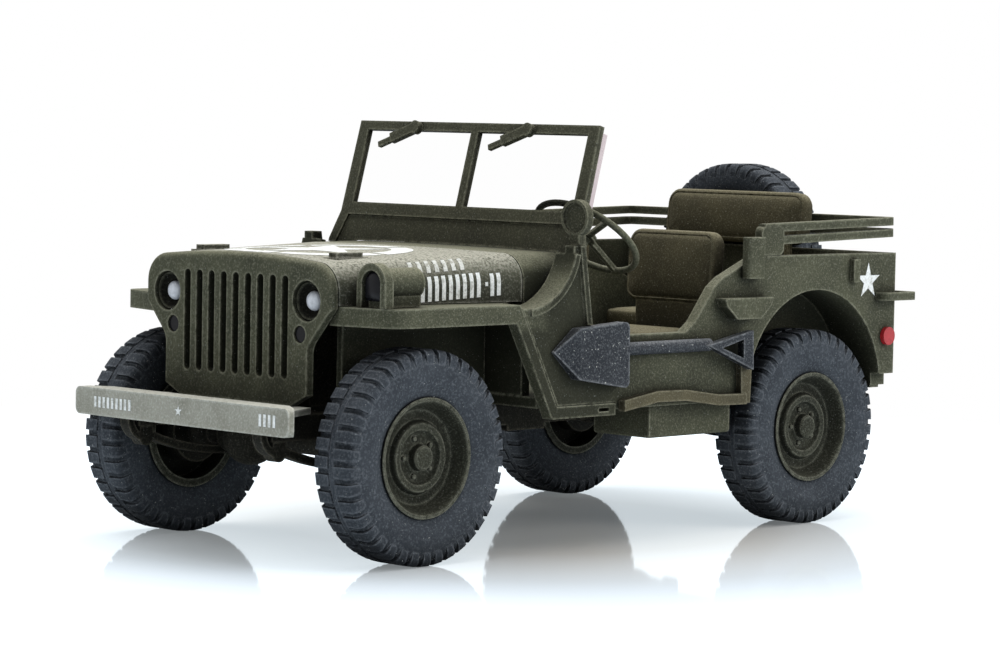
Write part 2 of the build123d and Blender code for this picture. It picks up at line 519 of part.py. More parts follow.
# ---------------------------------------------------------------- hood
HOOD_BOTTOM_Z = FENDER_TOP_Z + 0.03
HOOD_SECTIONS = (                # x, width, top, crown
    (HOOD_REAR_X, HOOD_REAR_WIDTH, COWL_TOP_Z, HOOD_REAR_CROWN),
    (HOOD_FRONT_X, GRILLE_WIDTH, AXLE_Z + HOOD_FRONT_TOP, HOOD_FRONT_CROWN),
)
REST_Y = 4.0                     # blocks the lowered windshield rests on
REST_BEHIND = 2.22               # behind the grille's face
REST_LENGTH = 1.40
REST_WIDTH = 0.45
REST_HEIGHT = 0.27
REST_PLATE = 0.08
REST_PLATE_MARGIN = 0.15
with BuildPart() as hood:
    for skin, mode in ((0, Mode.ADD), (HOOD_SKIN, Mode.SUBTRACT)):
        loft([crowned_section(*section, HOOD_BOTTOM_Z, skin) for section in HOOD_SECTIONS], mode=mode)
    rest_z = AXLE_Z + HOOD_FRONT_TOP - HOOD_FRONT_CROWN * (2 * REST_Y / GRILLE_WIDTH) ** 2
    for side in (-1, 1):
        with Locations((GRILLE_X - REST_BEHIND, side * REST_Y, rest_z - HOOD_SKIN / 2)):
            Box(REST_LENGTH, REST_WIDTH, HOOD_SKIN / 2 + REST_HEIGHT,
                align=(Align.CENTER, Align.CENTER, Align.MIN))
            Box(REST_LENGTH + 2 * REST_PLATE_MARGIN, REST_WIDTH + 2 * REST_PLATE_MARGIN,
                HOOD_SKIN / 2 + REST_PLATE, align=(Align.CENTER, Align.CENTER, Align.MIN))

# ---------------------------------------------------------------- grille
GRILLE_TOP_Z = AXLE_Z + HOOD_FRONT_TOP
GRILLE_BOTTOM_Z = AXLE_Z + 1.85
GRILLE_CHAMFER_WIDTH = 0.90
GRILLE_CHAMFER_HEIGHT = 0.45
GRILLE_FLARE_LOW_Z = AXLE_Z + 4.20
GRILLE_FLARE_HIGH_Z = AXLE_Z + 5.75
GRILLE_FLARE_RADIUS = 0.80
GRILLE_EDGE = 0.26               # rounding of the front edge, round the top
SLOT_COUNT = 9
SLOT_PITCH = 0.735
SLOT_WIDTH = 0.37
SLOT_BOTTOM_Z = AXLE_Z + 2.88
SLOT_HEIGHT = 4.06
LAMP_Y = 4.20
LAMP_Z = AXLE_Z + 6.00
LAMP_HOLE_RADIUS = 0.80
MARKER_Y = 3.82
MARKER_Z = AXLE_Z + 4.68
MARKER_RADIUS = 0.34
with BuildPart() as grille:
    with BuildSketch(Plane.YZ.offset(GRILLE_X)):
        with BuildLine():
            shoulder_z = GRILLE_TOP_Z - HOOD_FRONT_CROWN
            ThreePointArc((-GRILLE_WIDTH / 2, shoulder_z), (0, GRILLE_TOP_Z),
                          (GRILLE_WIDTH / 2, shoulder_z))
            for side in (-1, 1):
                waist_y = side * GRILLE_WAIST_WIDTH / 2
                Polyline((side * GRILLE_WIDTH / 2, shoulder_z),
                         (side * GRILLE_WIDTH / 2, GRILLE_FLARE_HIGH_Z),
                         (waist_y, GRILLE_FLARE_LOW_Z), (waist_y, GRILLE_BOTTOM_Z + GRILLE_CHAMFER_HEIGHT),
                         (waist_y - side * GRILLE_CHAMFER_WIDTH, GRILLE_BOTTOM_Z), (0, GRILLE_BOTTOM_Z))
        make_face()
        fillet([v for v in vertices() if abs(v.Y - shoulder_z) < SEAM], HOOD_SHOULDER_RADIUS)
        fillet([v for v in vertices() if abs(v.Y - GRILLE_FLARE_LOW_Z) < SEAM], GRILLE_FLARE_RADIUS)
        with Locations((0, SLOT_BOTTOM_Z)):
            with GridLocations(SLOT_PITCH, 1, SLOT_COUNT, 1):
                SlotOverall(SLOT_HEIGHT, SLOT_WIDTH, rotation=90, align=(Align.MIN, Align.CENTER),
                            mode=Mode.SUBTRACT)
        with Locations(*[(side * LAMP_Y, LAMP_Z) for side in (-1, 1)]):
            Circle(LAMP_HOLE_RADIUS, mode=Mode.SUBTRACT)
        with Locations(*[(side * MARKER_Y, MARKER_Z) for side in (-1, 1)]):
            Circle(MARKER_RADIUS, mode=Mode.SUBTRACT)
    extrude(amount=-GRILLE_THICKNESS)
    outline = grille.faces().sort_by(Axis.X)[-1].outer_wire().edges()
    fillet([edge for edge in outline if edge.center().Z > GRILLE_FLARE_HIGH_Z], GRILLE_EDGE)

RADIATOR_WIDTH = 6.4
RADIATOR_THICKNESS = 0.7
RADIATOR_GAP = 0.10
with BuildPart() as radiator:
    with BuildSketch(Plane.YZ.offset(GRILLE_X - GRILLE_THICKNESS - RADIATOR_GAP)):
        with Locations((0, RAIL_TOP_Z)):
            Rectangle(RADIATOR_WIDTH, GRILLE_TOP_Z - 2 * HOOD_SKIN - RAIL_TOP_Z,
                      align=(Align.CENTER, Align.MIN))
    extrude(amount=-RADIATOR_THICKNESS)

# ---------------------------------------------------------------- lamps
LENS_RADIUS = 0.46
LENS_DOME = 0.12
LAMP_CLEARANCE = 0.03            # lamp in its hole
LAMP_SET_BACK = 0.14             # bowl's lip behind the grille's face
LAMP_BOWL_WALL = 0.09
LAMP_BOWL_DEPTH = 0.36           # bowl's floor, round the lens, behind its lip
LAMP_BODY_LENGTH = 1.10
MARKER_RECESS = 0.08
MARKER_LENGTH = 0.70
# sunk bowls with a domed lens at the bottom of each
with BuildPart() as headlights:
    for side in (-1, 1):
        lamp_radius = LAMP_HOLE_RADIUS - LAMP_CLEARANCE
        for radius, depth, mode in ((lamp_radius, LAMP_BODY_LENGTH, Mode.ADD),
                                    (lamp_radius - LAMP_BOWL_WALL, LAMP_BOWL_DEPTH, Mode.SUBTRACT)):
            with BuildSketch(Plane.YZ.offset(GRILLE_X - LAMP_SET_BACK)):
                with Locations((side * LAMP_Y, LAMP_Z)):
                    Circle(radius)
            extrude(amount=-depth, mode=mode)
        with BuildSketch(Plane.YZ.offset(GRILLE_X - LAMP_SET_BACK - LAMP_BOWL_DEPTH)):
            with Locations((side * LAMP_Y, LAMP_Z)):
                Circle(LENS_RADIUS)
        extrude(amount=LENS_DOME, taper=20)

with BuildPart() as marker_lamps:
    for side in (-1, 1):
        with BuildSketch(Plane.YZ.offset(GRILLE_X - MARKER_RECESS)):
            with Locations((side * MARKER_Y, MARKER_Z)):
                Circle(MARKER_RADIUS - LAMP_CLEARANCE)
        extrude(amount=-MARKER_LENGTH)

BLACKOUT_Y = 6.90
BLACKOUT_X = FRONT_AXLE_X + 2.15     # front face of the guard
GUARD_RADIUS = 0.80
GUARD_BAR = 0.28
GUARD_DEPTH = 0.45
DRUM_LENGTH = 2.10
BLACKOUT_DRUM_RADIUS = 0.60
BLACKOUT_GAP = 0.02
BLACKOUT_BASE_Z = FENDER_TOP_Z + BLACKOUT_GAP
BLACKOUT_Z = BLACKOUT_BASE_Z + 0.92
BLACKOUT_FOOT_WIDTH = 0.70
with BuildPart() as blackout_lamp:
    # horseshoe guard, standing on the fender
    with BuildSketch(Plane.YZ.offset(BLACKOUT_X)):
        for radius, mode in ((GUARD_RADIUS, Mode.ADD), (GUARD_RADIUS - GUARD_BAR, Mode.SUBTRACT)):
            with Locations((BLACKOUT_Y, BLACKOUT_Z)):
                Circle(radius, mode=mode)
            with Locations((BLACKOUT_Y, BLACKOUT_BASE_Z)):
                Rectangle(2 * radius, BLACKOUT_Z - BLACKOUT_BASE_Z, mode=mode,
                          align=(Align.CENTER, Align.MIN))
    extrude(amount=-GUARD_DEPTH)
    # lamp body inside it and behind, on its foot
    with BuildSketch(Plane.YZ.offset(BLACKOUT_X - GUARD_DEPTH / 2)):
        with Locations((BLACKOUT_Y, BLACKOUT_Z)):
            Circle(BLACKOUT_DRUM_RADIUS)
        with Locations((BLACKOUT_Y, BLACKOUT_BASE_Z)):
            Rectangle(BLACKOUT_FOOT_WIDTH, BLACKOUT_Z - BLACKOUT_BASE_Z, align=(Align.CENTER, Align.MIN))
    extrude(amount=-DRUM_LENGTH)

# ---------------------------------------------------------------- fenders
FENDER_FRONT_X = GRILLE_X - GRILLE_THICKNESS - SEAM
FENDER_FRONT_INNER_Y = LAMP_Y + LAMP_HOLE_RADIUS + 0.10
APRON_Y = FRAME_WIDTH / 2 + 0.06     # apron's inner face, clear of the rail
APRON_THICKNESS = 0.30
APRON_LAMP_GAP = 0.22            # apron's front end behind the headlight's body
APRON_FRONT_X = GRILLE_X - LAMP_SET_BACK - LAMP_BODY_LENGTH - APRON_LAMP_GAP
APRON_LAP = 0.50                 # apron's lower edge below the rail's top
BAND_FOOT_DEPTH = 0.28           # slanted plate's thickness along x at its foot, then its head
BAND_HEAD_DEPTH = 0.40
STEP_SLOT_AHEAD = 0.70           # slot in the step's outer edge: its middle ahead of the step's end
STEP_SLOT_LENGTH = 0.60
STEP_SLOT_HEIGHT = 0.14


def front_fender(side):
    """Top with turned-down edges, inner apron, slanted rear and step, on one side of the car."""
    plan = ((FENDER_FRONT_X, FENDER_FRONT_INNER_Y), (FENDER_FRONT_X, GRILLE_WIDTH / 2),
            (FRONT_AXLE_X + FENDER_CORNER_AHEAD, FENDER_SIDE_Y), (FENDER_KINK_X, FENDER_SIDE_Y),
            (FENDER_KINK_X, COVE_INNER_Y), (COWL_FRONT_X + SEAM, HOOD_REAR_WIDTH / 2 - WALL),
            (COWL_FRONT_X + SEAM, APRON_Y), (APRON_FRONT_X, APRON_Y),
            (APRON_FRONT_X, FENDER_FRONT_INNER_Y))
    lip = FENDER_LIP_THICKNESS
    inside = ((FENDER_FRONT_X - lip, 0), (FENDER_FRONT_X - lip, GRILLE_WIDTH / 2 - lip / 2),
              (FRONT_AXLE_X + FENDER_CORNER_AHEAD - lip, FENDER_SIDE_Y - lip),
              (0, FENDER_SIDE_Y - lip), (0, 0))
    band = ((FENDER_KINK_X, FENDER_TOP_Z), (FENDER_FOOT_X, STEP_TOP_Z), (STEP_END_X, STEP_TOP_Z),
            (STEP_END_X, STEP_TOP_Z - STEP_THICKNESS),
            (FENDER_FOOT_X + BAND_FOOT_DEPTH, STEP_TOP_Z - STEP_THICKNESS),
            (FENDER_KINK_X + BAND_HEAD_DEPTH, FENDER_TOP_Z - FENDER_THICKNESS),
            (FENDER_KINK_X + BAND_HEAD_DEPTH, FENDER_TOP_Z))
    with BuildPart() as fender:
        with BuildSketch(Plane.XY.offset(FENDER_TOP_Z)):
            with BuildLine():
                Polyline(*plan, close=True)
            make_face()
            fillet(vertices().sort_by_distance((FRONT_AXLE_X + FENDER_CORNER_AHEAD, FENDER_SIDE_Y))[0],
                   FENDER_CORNER_RADIUS)
        extrude(amount=-FENDER_LIP)
        with BuildSketch(Plane.XY.offset(FENDER_TOP_Z - FENDER_THICKNESS)):
            with BuildLine():
                Polyline(*inside, close=True)
            make_face()
            fillet(vertices().sort_by_distance((FENDER_FRONT_X, FENDER_SIDE_Y))[0],
                   FENDER_CORNER_RADIUS - lip / 2)
        extrude(amount=-FENDER_LIP, mode=Mode.SUBTRACT)
        # slanted rear plate and step
        with BuildSketch(Plane.XZ.offset(-FENDER_SIDE_Y)):
            with BuildLine():
                Polyline(*band, close=True)
            make_face()
        extrude(amount=FENDER_SIDE_Y - BODY_SIDE_Y + WALL - STEP_GAP)
        with Locations((STEP_END_X + STEP_SLOT_AHEAD, FENDER_SIDE_Y, STEP_TOP_Z - STEP_THICKNESS / 2)):
            Box(STEP_SLOT_LENGTH, FENDER_LIP_THICKNESS, STEP_SLOT_HEIGHT,
                align=(Align.CENTER, Align.MAX, Align.CENTER), mode=Mode.SUBTRACT)
        # apron down to the rail
        with Locations((APRON_FRONT_X, APRON_Y, FENDER_TOP_Z)):
            Box(APRON_FRONT_X - COWL_FRONT_X - SEAM, APRON_THICKNESS,
                FENDER_TOP_Z - RAIL_TOP_Z + APRON_LAP, align=(Align.MAX, Align.MIN, Align.MAX))
        if side < 0:
            mirror(about=Plane.XZ, mode=Mode.REPLACE)
    return fender


fender_left = front_fender(1)
fender_right = front_fender(-1)

# ---------------------------------------------------------------- windshield
LEAN = 15.3                      # degrees back from upright
FRAME_BASE_WIDTH = 15.20
FRAME_WAIST_WIDTH = 14.40
FRAME_TOP_WIDTH = 14.30
FRAME_KINK = 1.25                # the sides' kink, along the slope
FRAME_SLOPE_HEIGHT = 5.32        # along the slope
FRAME_DEPTH = 0.28
GLASS_LOW = 1.66                 # along the slope
GLASS_HIGH = 4.93
PANE_INNER_Y = 0.21
PANE_OUTER_Y = 6.58
PANEL_RECESS = 0.10
WAIST_BAR = 0.55                 # raised bar under the panes
PANEL_MARGIN = 0.50
WINDSHIELD_X = COWL_REAR_X + 0.54    # foot of the frame's front face
FRAME_GAP = 0.02                 # foot over the cowl
WINDSHIELD_Z = COWL_TOP_Z + FRAME_GAP
FRAME_SKIRT = 0.15               # foot's reach down over the cowl's shoulders
GLAZING_THICKNESS = 0.30
GLAZING_GAP = 0.04
GLAZING_LAP = 0.15

windshield_plane = Plane(origin=(WINDSHIELD_X, 0, WINDSHIELD_Z), x_dir=(0, 1, 0),
                         z_dir=(cos(radians(LEAN)), 0, sin(radians(LEAN))))
with BuildPart() as windshield_frame:
    with BuildSketch(windshield_plane):
        with BuildLine():
            Polyline((0, -FRAME_SKIRT), (FRAME_BASE_WIDTH / 2, -FRAME_SKIRT), (FRAME_BASE_WIDTH / 2, 0),
                     (FRAME_WAIST_WIDTH / 2, FRAME_KINK), (FRAME_TOP_WIDTH / 2, FRAME_SLOPE_HEIGHT),
                     (0, FRAME_SLOPE_HEIGHT), close=True)
        make_face()
        mirror(about=Plane.YZ)
        pane_middle = ((PANE_INNER_Y + PANE_OUTER_Y) / 2, (GLASS_LOW + GLASS_HIGH) / 2)
        with Locations(*[(side * pane_middle[0], pane_middle[1]) for side in (-1, 1)]):
            Rectangle(PANE_OUTER_Y - PANE_INNER_Y, GLASS_HIGH - GLASS_LOW, mode=Mode.SUBTRACT)
    extrude(amount=-FRAME_DEPTH)
    # sunk panel under the panes
    with BuildSketch(windshield_plane):
        with BuildLine():
            Polyline((0, -1), (FRAME_BASE_WIDTH / 2, -1), (FRAME_BASE_WIDTH / 2 - PANEL_MARGIN, 0),
                     (FRAME_WAIST_WIDTH / 2 - PANEL_MARGIN, GLASS_LOW - WAIST_BAR),
                     (0, GLASS_LOW - WAIST_BAR), close=True)
        make_face()
        mirror(about=Plane.YZ)
    extrude(amount=-PANEL_RECESS, mode=Mode.SUBTRACT)
    # its foot follows the cowl
    extrude(crowned_section(WINDSHIELD_X - 2 * FRAME_DEPTH, COWL_REAR_WIDTH, WINDSHIELD_Z,
                            HOOD_REAR_CROWN, COWL_BOTTOM_Z),
            amount=4 * FRAME_DEPTH, mode=Mode.SUBTRACT)

with BuildPart() as windshield_glass:
    with BuildSketch(windshield_plane.offset(-FRAME_DEPTH - GLAZING_GAP)):
        with Locations((0, (GLASS_LOW + GLASS_HIGH) / 2)):
            Rectangle(FRAME_TOP_WIDTH - GLAZING_LAP, GLASS_HIGH - GLASS_LOW + 2 * GLAZING_LAP)
    extrude(amount=-GLAZING_THICKNESS)

WIPER_DROP = 21.0                # degrees below level
WIPER_HUB_RADIUS = 0.28
WIPER_HUB_UP = 5.02
WIPER_HUBS = (-3.45, 3.28)
WIPER_STEPS = (                  # arm then blade: start, end, width, thickness
    (0, 1.45, 0.42, 0.30), (1.30, 2.25, 0.24, 0.20),
)
with BuildPart() as wipers:
    for hub_y in WIPER_HUBS:
        with BuildSketch(windshield_plane):
            with Locations((hub_y, WIPER_HUB_UP)):
                Circle(WIPER_HUB_RADIUS)
        extrude(amount=WIPER_STEPS[0][3])
        for start, end, width, thickness in WIPER_STEPS:
            with BuildSketch(windshield_plane):
                with Locations(Location((hub_y, WIPER_HUB_UP), 180 + WIPER_DROP)):
                    with Locations((start, 0)):
                        Rectangle(end - start, width, align=(Align.MIN, Align.CENTER))
            extrude(amount=thickness)

# ---------------------------------------------------------------- mirror
MIRROR_RADIUS = 0.74
MIRROR_THICKNESS = 0.36
MIRROR_RIM = 0.12
MIRROR_X = POST_X + 0.60
MIRROR_INSET = 0.30              # mirror's middle inside the body's side
MIRROR_Y = BODY_SIDE_Y - MIRROR_INSET
MIRROR_Z = COWL_TOP_Z + 1.42
STEM_FOOT_WIDTH = 0.60
STEM_HEAD_WIDTH = 0.40
STEM_GAP = 0.02                  # over the door post
with BuildPart() as mirror_arm:
    with BuildSketch(Plane.YZ.offset(MIRROR_X - MIRROR_THICKNESS / 2)):
        with Locations((MIRROR_Y, MIRROR_Z)):
            Circle(MIRROR_RADIUS)
        with BuildLine():
            Polyline((MIRROR_Y - STEM_FOOT_WIDTH / 2, POST_TOP_Z + STEM_GAP),
                     (MIRROR_Y + STEM_FOOT_WIDTH / 2, POST_TOP_Z + STEM_GAP),
                     (MIRROR_Y + STEM_HEAD_WIDTH / 2, MIRROR_Z), (MIRROR_Y - STEM_HEAD_WIDTH / 2, MIRROR_Z),
                     close=True)
        make_face()
    extrude(amount=MIRROR_THICKNESS)
    with BuildSketch(Plane.YZ.offset(MIRROR_X + MIRROR_THICKNESS / 2)):
        with Locations((MIRROR_Y, MIRROR_Z)):
            Circle(MIRROR_RADIUS - MIRROR_RIM)
    extrude(amount=-MIRROR_RIM, mode=Mode.SUBTRACT)

# ---------------------------------------------------------------- steering wheel and column
STEER_RADIUS = 2.32
STEER_RIM = 0.14
STEER_TILT = 38.8                # wheel's plane above level
STEER_Y = 4.25
STEER_BEHIND = 3.29              # wheel's middle behind the cowl's rear
STEER_X = COWL_REAR_X - STEER_BEHIND
STEER_Z = FLOOR_TOP_Z + 6.24
COLUMN_RADIUS = 0.20
steer_plane = Plane(origin=(STEER_X, STEER_Y, STEER_Z), x_dir=(0, 1, 0),
                    z_dir=(-sin(radians(STEER_TILT)), 0, cos(radians(STEER_TILT))))
STEER_HUB_RADIUS = 0.42
STEER_SPOKE = 0.22
COLUMN_FOOT = 0.30               # its lower end above the floor
column_length = (STEER_Z - FLOOR_TOP_Z - COLUMN_FOOT) / cos(radians(STEER_TILT))
with BuildPart(steer_plane) as steering_wheel:
    Torus(STEER_RADIUS, STEER_RIM)
    with BuildSketch(steer_plane.offset(-STEER_SPOKE / 2)):
        for spoke in range(3):
            with Locations(Location((0, 0), 90 + 120 * spoke)):
                Rectangle(STEER_RADIUS, STEER_SPOKE, align=(Align.MIN, Align.CENTER))
        Circle(STEER_HUB_RADIUS)
    extrude(amount=STEER_SPOKE)
    with BuildSketch(steer_plane):
        Circle(COLUMN_RADIUS)
    extrude(amount=-column_length)

# ---------------------------------------------------------------- seats
SEAT_WIDTH = 5.05
SEAT_Y = 3.97
SEAT_BACK_X = REAR_AXLE_X + 5.36          # front face of the backrest, at its foot
SEAT_BACK_THICKNESS = 0.85
SEAT_BACK_LOW_Z = FLOOR_TOP_Z + 3.35
SEAT_BACK_HEIGHT = 3.15
SEAT_BACK_LEAN = 5.0
SEAT_BACK_CORNER = 0.60
SEAT_CUSHION_LENGTH = 4.40
SEAT_CUSHION_THICKNESS = 0.95
SEAT_CUSHION_TOP = 2.40          # above the floor
SEAT_ROUND = 0.25
SEAT_BASE_MARGIN = 0.50
SEAT_PANEL_THICKNESS = 0.40      # closed panel between cushion and backrest
SEAT_PANEL_INSET = 0.25          # panel's face behind the backrest's
SEAT_LEDGE_DROP = 0.30           # ledge under the panel, below the cushion's top


def front_seat(side):
    """Cushion on a plain base, with a closed panel up to the padded backrest."""
    panel_x = SEAT_BACK_X - SEAT_PANEL_INSET - SEAT_PANEL_THICKNESS
    lean = Plane(origin=(SEAT_BACK_X, side * SEAT_Y, SEAT_BACK_LOW_Z), x_dir=(0, -1, 0),
                 z_dir=(-cos(radians(SEAT_BACK_LEAN)), 0, -sin(radians(SEAT_BACK_LEAN))))
    with BuildPart() as seat:
        with BuildSketch(lean):
            with Locations((0, SEAT_BACK_HEIGHT / 2)):
                RectangleRounded(SEAT_WIDTH, SEAT_BACK_HEIGHT, SEAT_BACK_CORNER)
        extrude(amount=SEAT_BACK_THICKNESS)
        fillet(seat.edges().filter_by(GeomType.LINE).filter_by(Axis.Y), SEAT_ROUND)
        with Locations((SEAT_BACK_X, side * SEAT_Y, FLOOR_TOP_Z + SEAT_CUSHION_TOP)):
            Box(SEAT_CUSHION_LENGTH, SEAT_WIDTH, SEAT_CUSHION_THICKNESS,
                align=(Align.MIN, Align.CENTER, Align.MAX))
        with Locations((panel_x, side * SEAT_Y, FLOOR_TOP_Z + SEAT_CUSHION_TOP - SEAT_LEDGE_DROP)):
            Box(SEAT_PANEL_THICKNESS + SEAT_PANEL_INSET, SEAT_WIDTH - 2 * SEAT_BACK_CORNER,
                SEAT_CUSHION_THICKNESS - SEAT_LEDGE_DROP, align=(Align.MIN, Align.CENTER, Align.MAX))
        with Locations((SEAT_BACK_X + SEAT_BASE_MARGIN, side * SEAT_Y, FLOOR_TOP_Z)):
            Box(SEAT_CUSHION_LENGTH - 2 * SEAT_BASE_MARGIN, SEAT_WIDTH - 2 * SEAT_BASE_MARGIN,
                SEAT_CUSHION_TOP - SEAT_CUSHION_THICKNESS / 2, align=(Align.MIN, Align.CENTER, Align.MIN))
        with Locations((panel_x, side * SEAT_Y, SEAT_BACK_LOW_Z + 2 * SEAT_ROUND)):
            Box(SEAT_PANEL_THICKNESS, SEAT_WIDTH - 2 * SEAT_BACK_CORNER,
                SEAT_BACK_LOW_Z + 2 * SEAT_ROUND - FLOOR_TOP_Z - SEAT_CUSHION_TOP
                + SEAT_CUSHION_THICKNESS, align=(Align.MIN, Align.CENTER, Align.MAX))
    return seat


driver_seat = front_seat(1)
passenger_seat = front_seat(-1)

REAR_SEAT_WIDTH = 8.30
REAR_BACK_X = REAR_AXLE_X - 3.38
REAR_BACK_THICKNESS = 0.85
REAR_BACK_LOW = 5.75             # above the floor
REAR_BACK_HEIGHT = 2.35
REAR_BACK_LEAN = 8.0
REAR_BACK_CORNER = 0.70
REAR_CUSHION_WIDTH = 9.2
REAR_CUSHION_LENGTH = 3.4
REAR_CUSHION_TOP = 2.6           # above the floor
REAR_LEG = 0.30
REAR_LEG_INSET = 0.80
REAR_LEG_SPAN = 3.45
with BuildPart() as rear_seat:
    rear_lean = Plane(origin=(REAR_BACK_X, 0, FLOOR_TOP_Z + REAR_BACK_LOW), x_dir=(0, -1, 0),
                      z_dir=(-cos(radians(REAR_BACK_LEAN)), 0, -sin(radians(REAR_BACK_LEAN))))
    with BuildSketch(rear_lean):
        with Locations((0, REAR_BACK_HEIGHT / 2)):
            RectangleRounded(REAR_SEAT_WIDTH, REAR_BACK_HEIGHT, REAR_BACK_CORNER)
    extrude(amount=REAR_BACK_THICKNESS)
    fillet(rear_seat.edges().filter_by(GeomType.LINE).filter_by(Axis.Y), SEAT_ROUND)
    with Locations((REAR_BACK_X + REAR_CUSHION_LENGTH, 0, FLOOR_TOP_Z + REAR_CUSHION_TOP)):
        Box(REAR_CUSHION_LENGTH + 2 * SEAT_ROUND, REAR_CUSHION_WIDTH, SEAT_CUSHION_THICKNESS,
            align=(Align.MAX, Align.CENTER, Align.MAX))
    leg_y = REAR_SEAT_WIDTH / 2 - REAR_LEG_INSET
    rear_leg_x = REAR_BACK_X - REAR_LEG
    with Locations(*[(rear_leg_x + reach, y, FLOOR_TOP_Z)
                     for reach in (0, REAR_LEG_SPAN) for y in (-leg_y, leg_y)]):
        Box(REAR_LEG, REAR_LEG, REAR_CUSHION_TOP - SEAT_CUSHION_THICKNESS / 2,
            align=(Align.CENTER, Align.CENTER, Align.MIN))
    with Locations(*[(rear_leg_x, y, FLOOR_TOP_Z) for y in (-leg_y, leg_y)]):
        Box(REAR_LEG, REAR_LEG, REAR_BACK_LOW + 2 * SEAT_ROUND,
            align=(Align.CENTER, Align.CENTER, Align.MIN))

# ---------------------------------------------------------------- folded top bows
BOW_SIZE = 0.36                  # square section
BOW_INSET = 0.15                 # bow's middle inside the body's side
BOW_Y = BODY_SIDE_Y - BOW_INSET
BOW_REAR_X = BODY_REAR_X + 0.06
BOW_CORNER = 0.40
BOWS = (                         # front x ahead of the rear axle, front and rear height over the tub
    (3.60, 1.19, 1.40),
    (2.70, 0.66, 0.89),
)
BRACKET_AHEAD = 3.82             # bracket plate's front edge, ahead of the rear axle
BRACKET_LENGTH = 1.46
BRACKET_HEIGHT = 1.25
BRACKET_THICKNESS = 0.40
BRACKET_GAP = 0.02
BRACKET_CORNER = 0.30
with BuildPart() as top_bows:
    # front bracket on each side, then the two bows round the back
    for side in (-1, 1):
        with BuildSketch(Plane.XZ.offset(-side * BOW_Y)):
            with Locations((REAR_AXLE_X + BRACKET_AHEAD - BRACKET_LENGTH / 2,
                            BODY_TOP_Z + BRACKET_GAP + BRACKET_HEIGHT / 2)):
                RectangleRounded(BRACKET_LENGTH, BRACKET_HEIGHT, BRACKET_CORNER)
        extrude(amount=BRACKET_THICKNESS / 2, both=True)
    for front, low, high in BOWS:
        with BuildLine() as bow_line:
            FilletPolyline((REAR_AXLE_X + front, BOW_Y, BODY_TOP_Z + low),
                           (BOW_REAR_X, BOW_Y, BODY_TOP_Z + high),
                           (BOW_REAR_X, -BOW_Y, BODY_TOP_Z + high),
                           (REAR_AXLE_X + front, -BOW_Y, BODY_TOP_Z + low), radius=BOW_CORNER)
        with BuildSketch(bow_line.line ^ 0):
            Rectangle(BOW_SIZE, BOW_SIZE)
        sweep(path=bow_line.line)

# ---------------------------------------------------------------- fittings on the sides
FITTING_GAP = 0.02               # off the body's side
FITTING_Y = BODY_SIDE_Y + FITTING_GAP
CLAMP_AHEAD = 4.60               # bow clamp's middle, ahead of the rear axle
CLAMP_LENGTH = 1.10
CLAMP_DEPTH = 0.50
CLAMP_HEIGHT = 1.75
CLAMP_BELOW = 0.92               # its foot below the side's top
CLAMP_ROUND = 0.18
CATCH_BEHIND = 2.48              # hook plate for the top's straps: its middle behind the rear axle
CATCH_LENGTH = 0.42
CATCH_DEPTH = 0.22
CATCH_HEIGHT = 1.02
CATCH_BELOW = 1.25               # its foot below the side's top
GRIP_TOP_BELOW = 1.72            # ledge's flat top below the side's top
GRIP_DEPTH = 0.55
GRIP_OUTLINE = (                 # ahead of the rear axle, below the ledge's top
    (6.71, 0.00), (6.55, 0.36), (5.90, 0.90), (4.35, 0.90), (3.70, 0.36), (3.55, 0.00),
)
HANDLE_SIZE = 0.36
HANDLE_OUT = 0.26                # clear space behind the corner handle
HANDLE_ROOT_BEHIND = 4.08        # behind the rear axle
HANDLE_REACH = 0.90              # behind the rear panel
HANDLE_INBOARD = 1.10
HANDLE_BELOW = 1.92
HANDLE_CORNER = 0.35
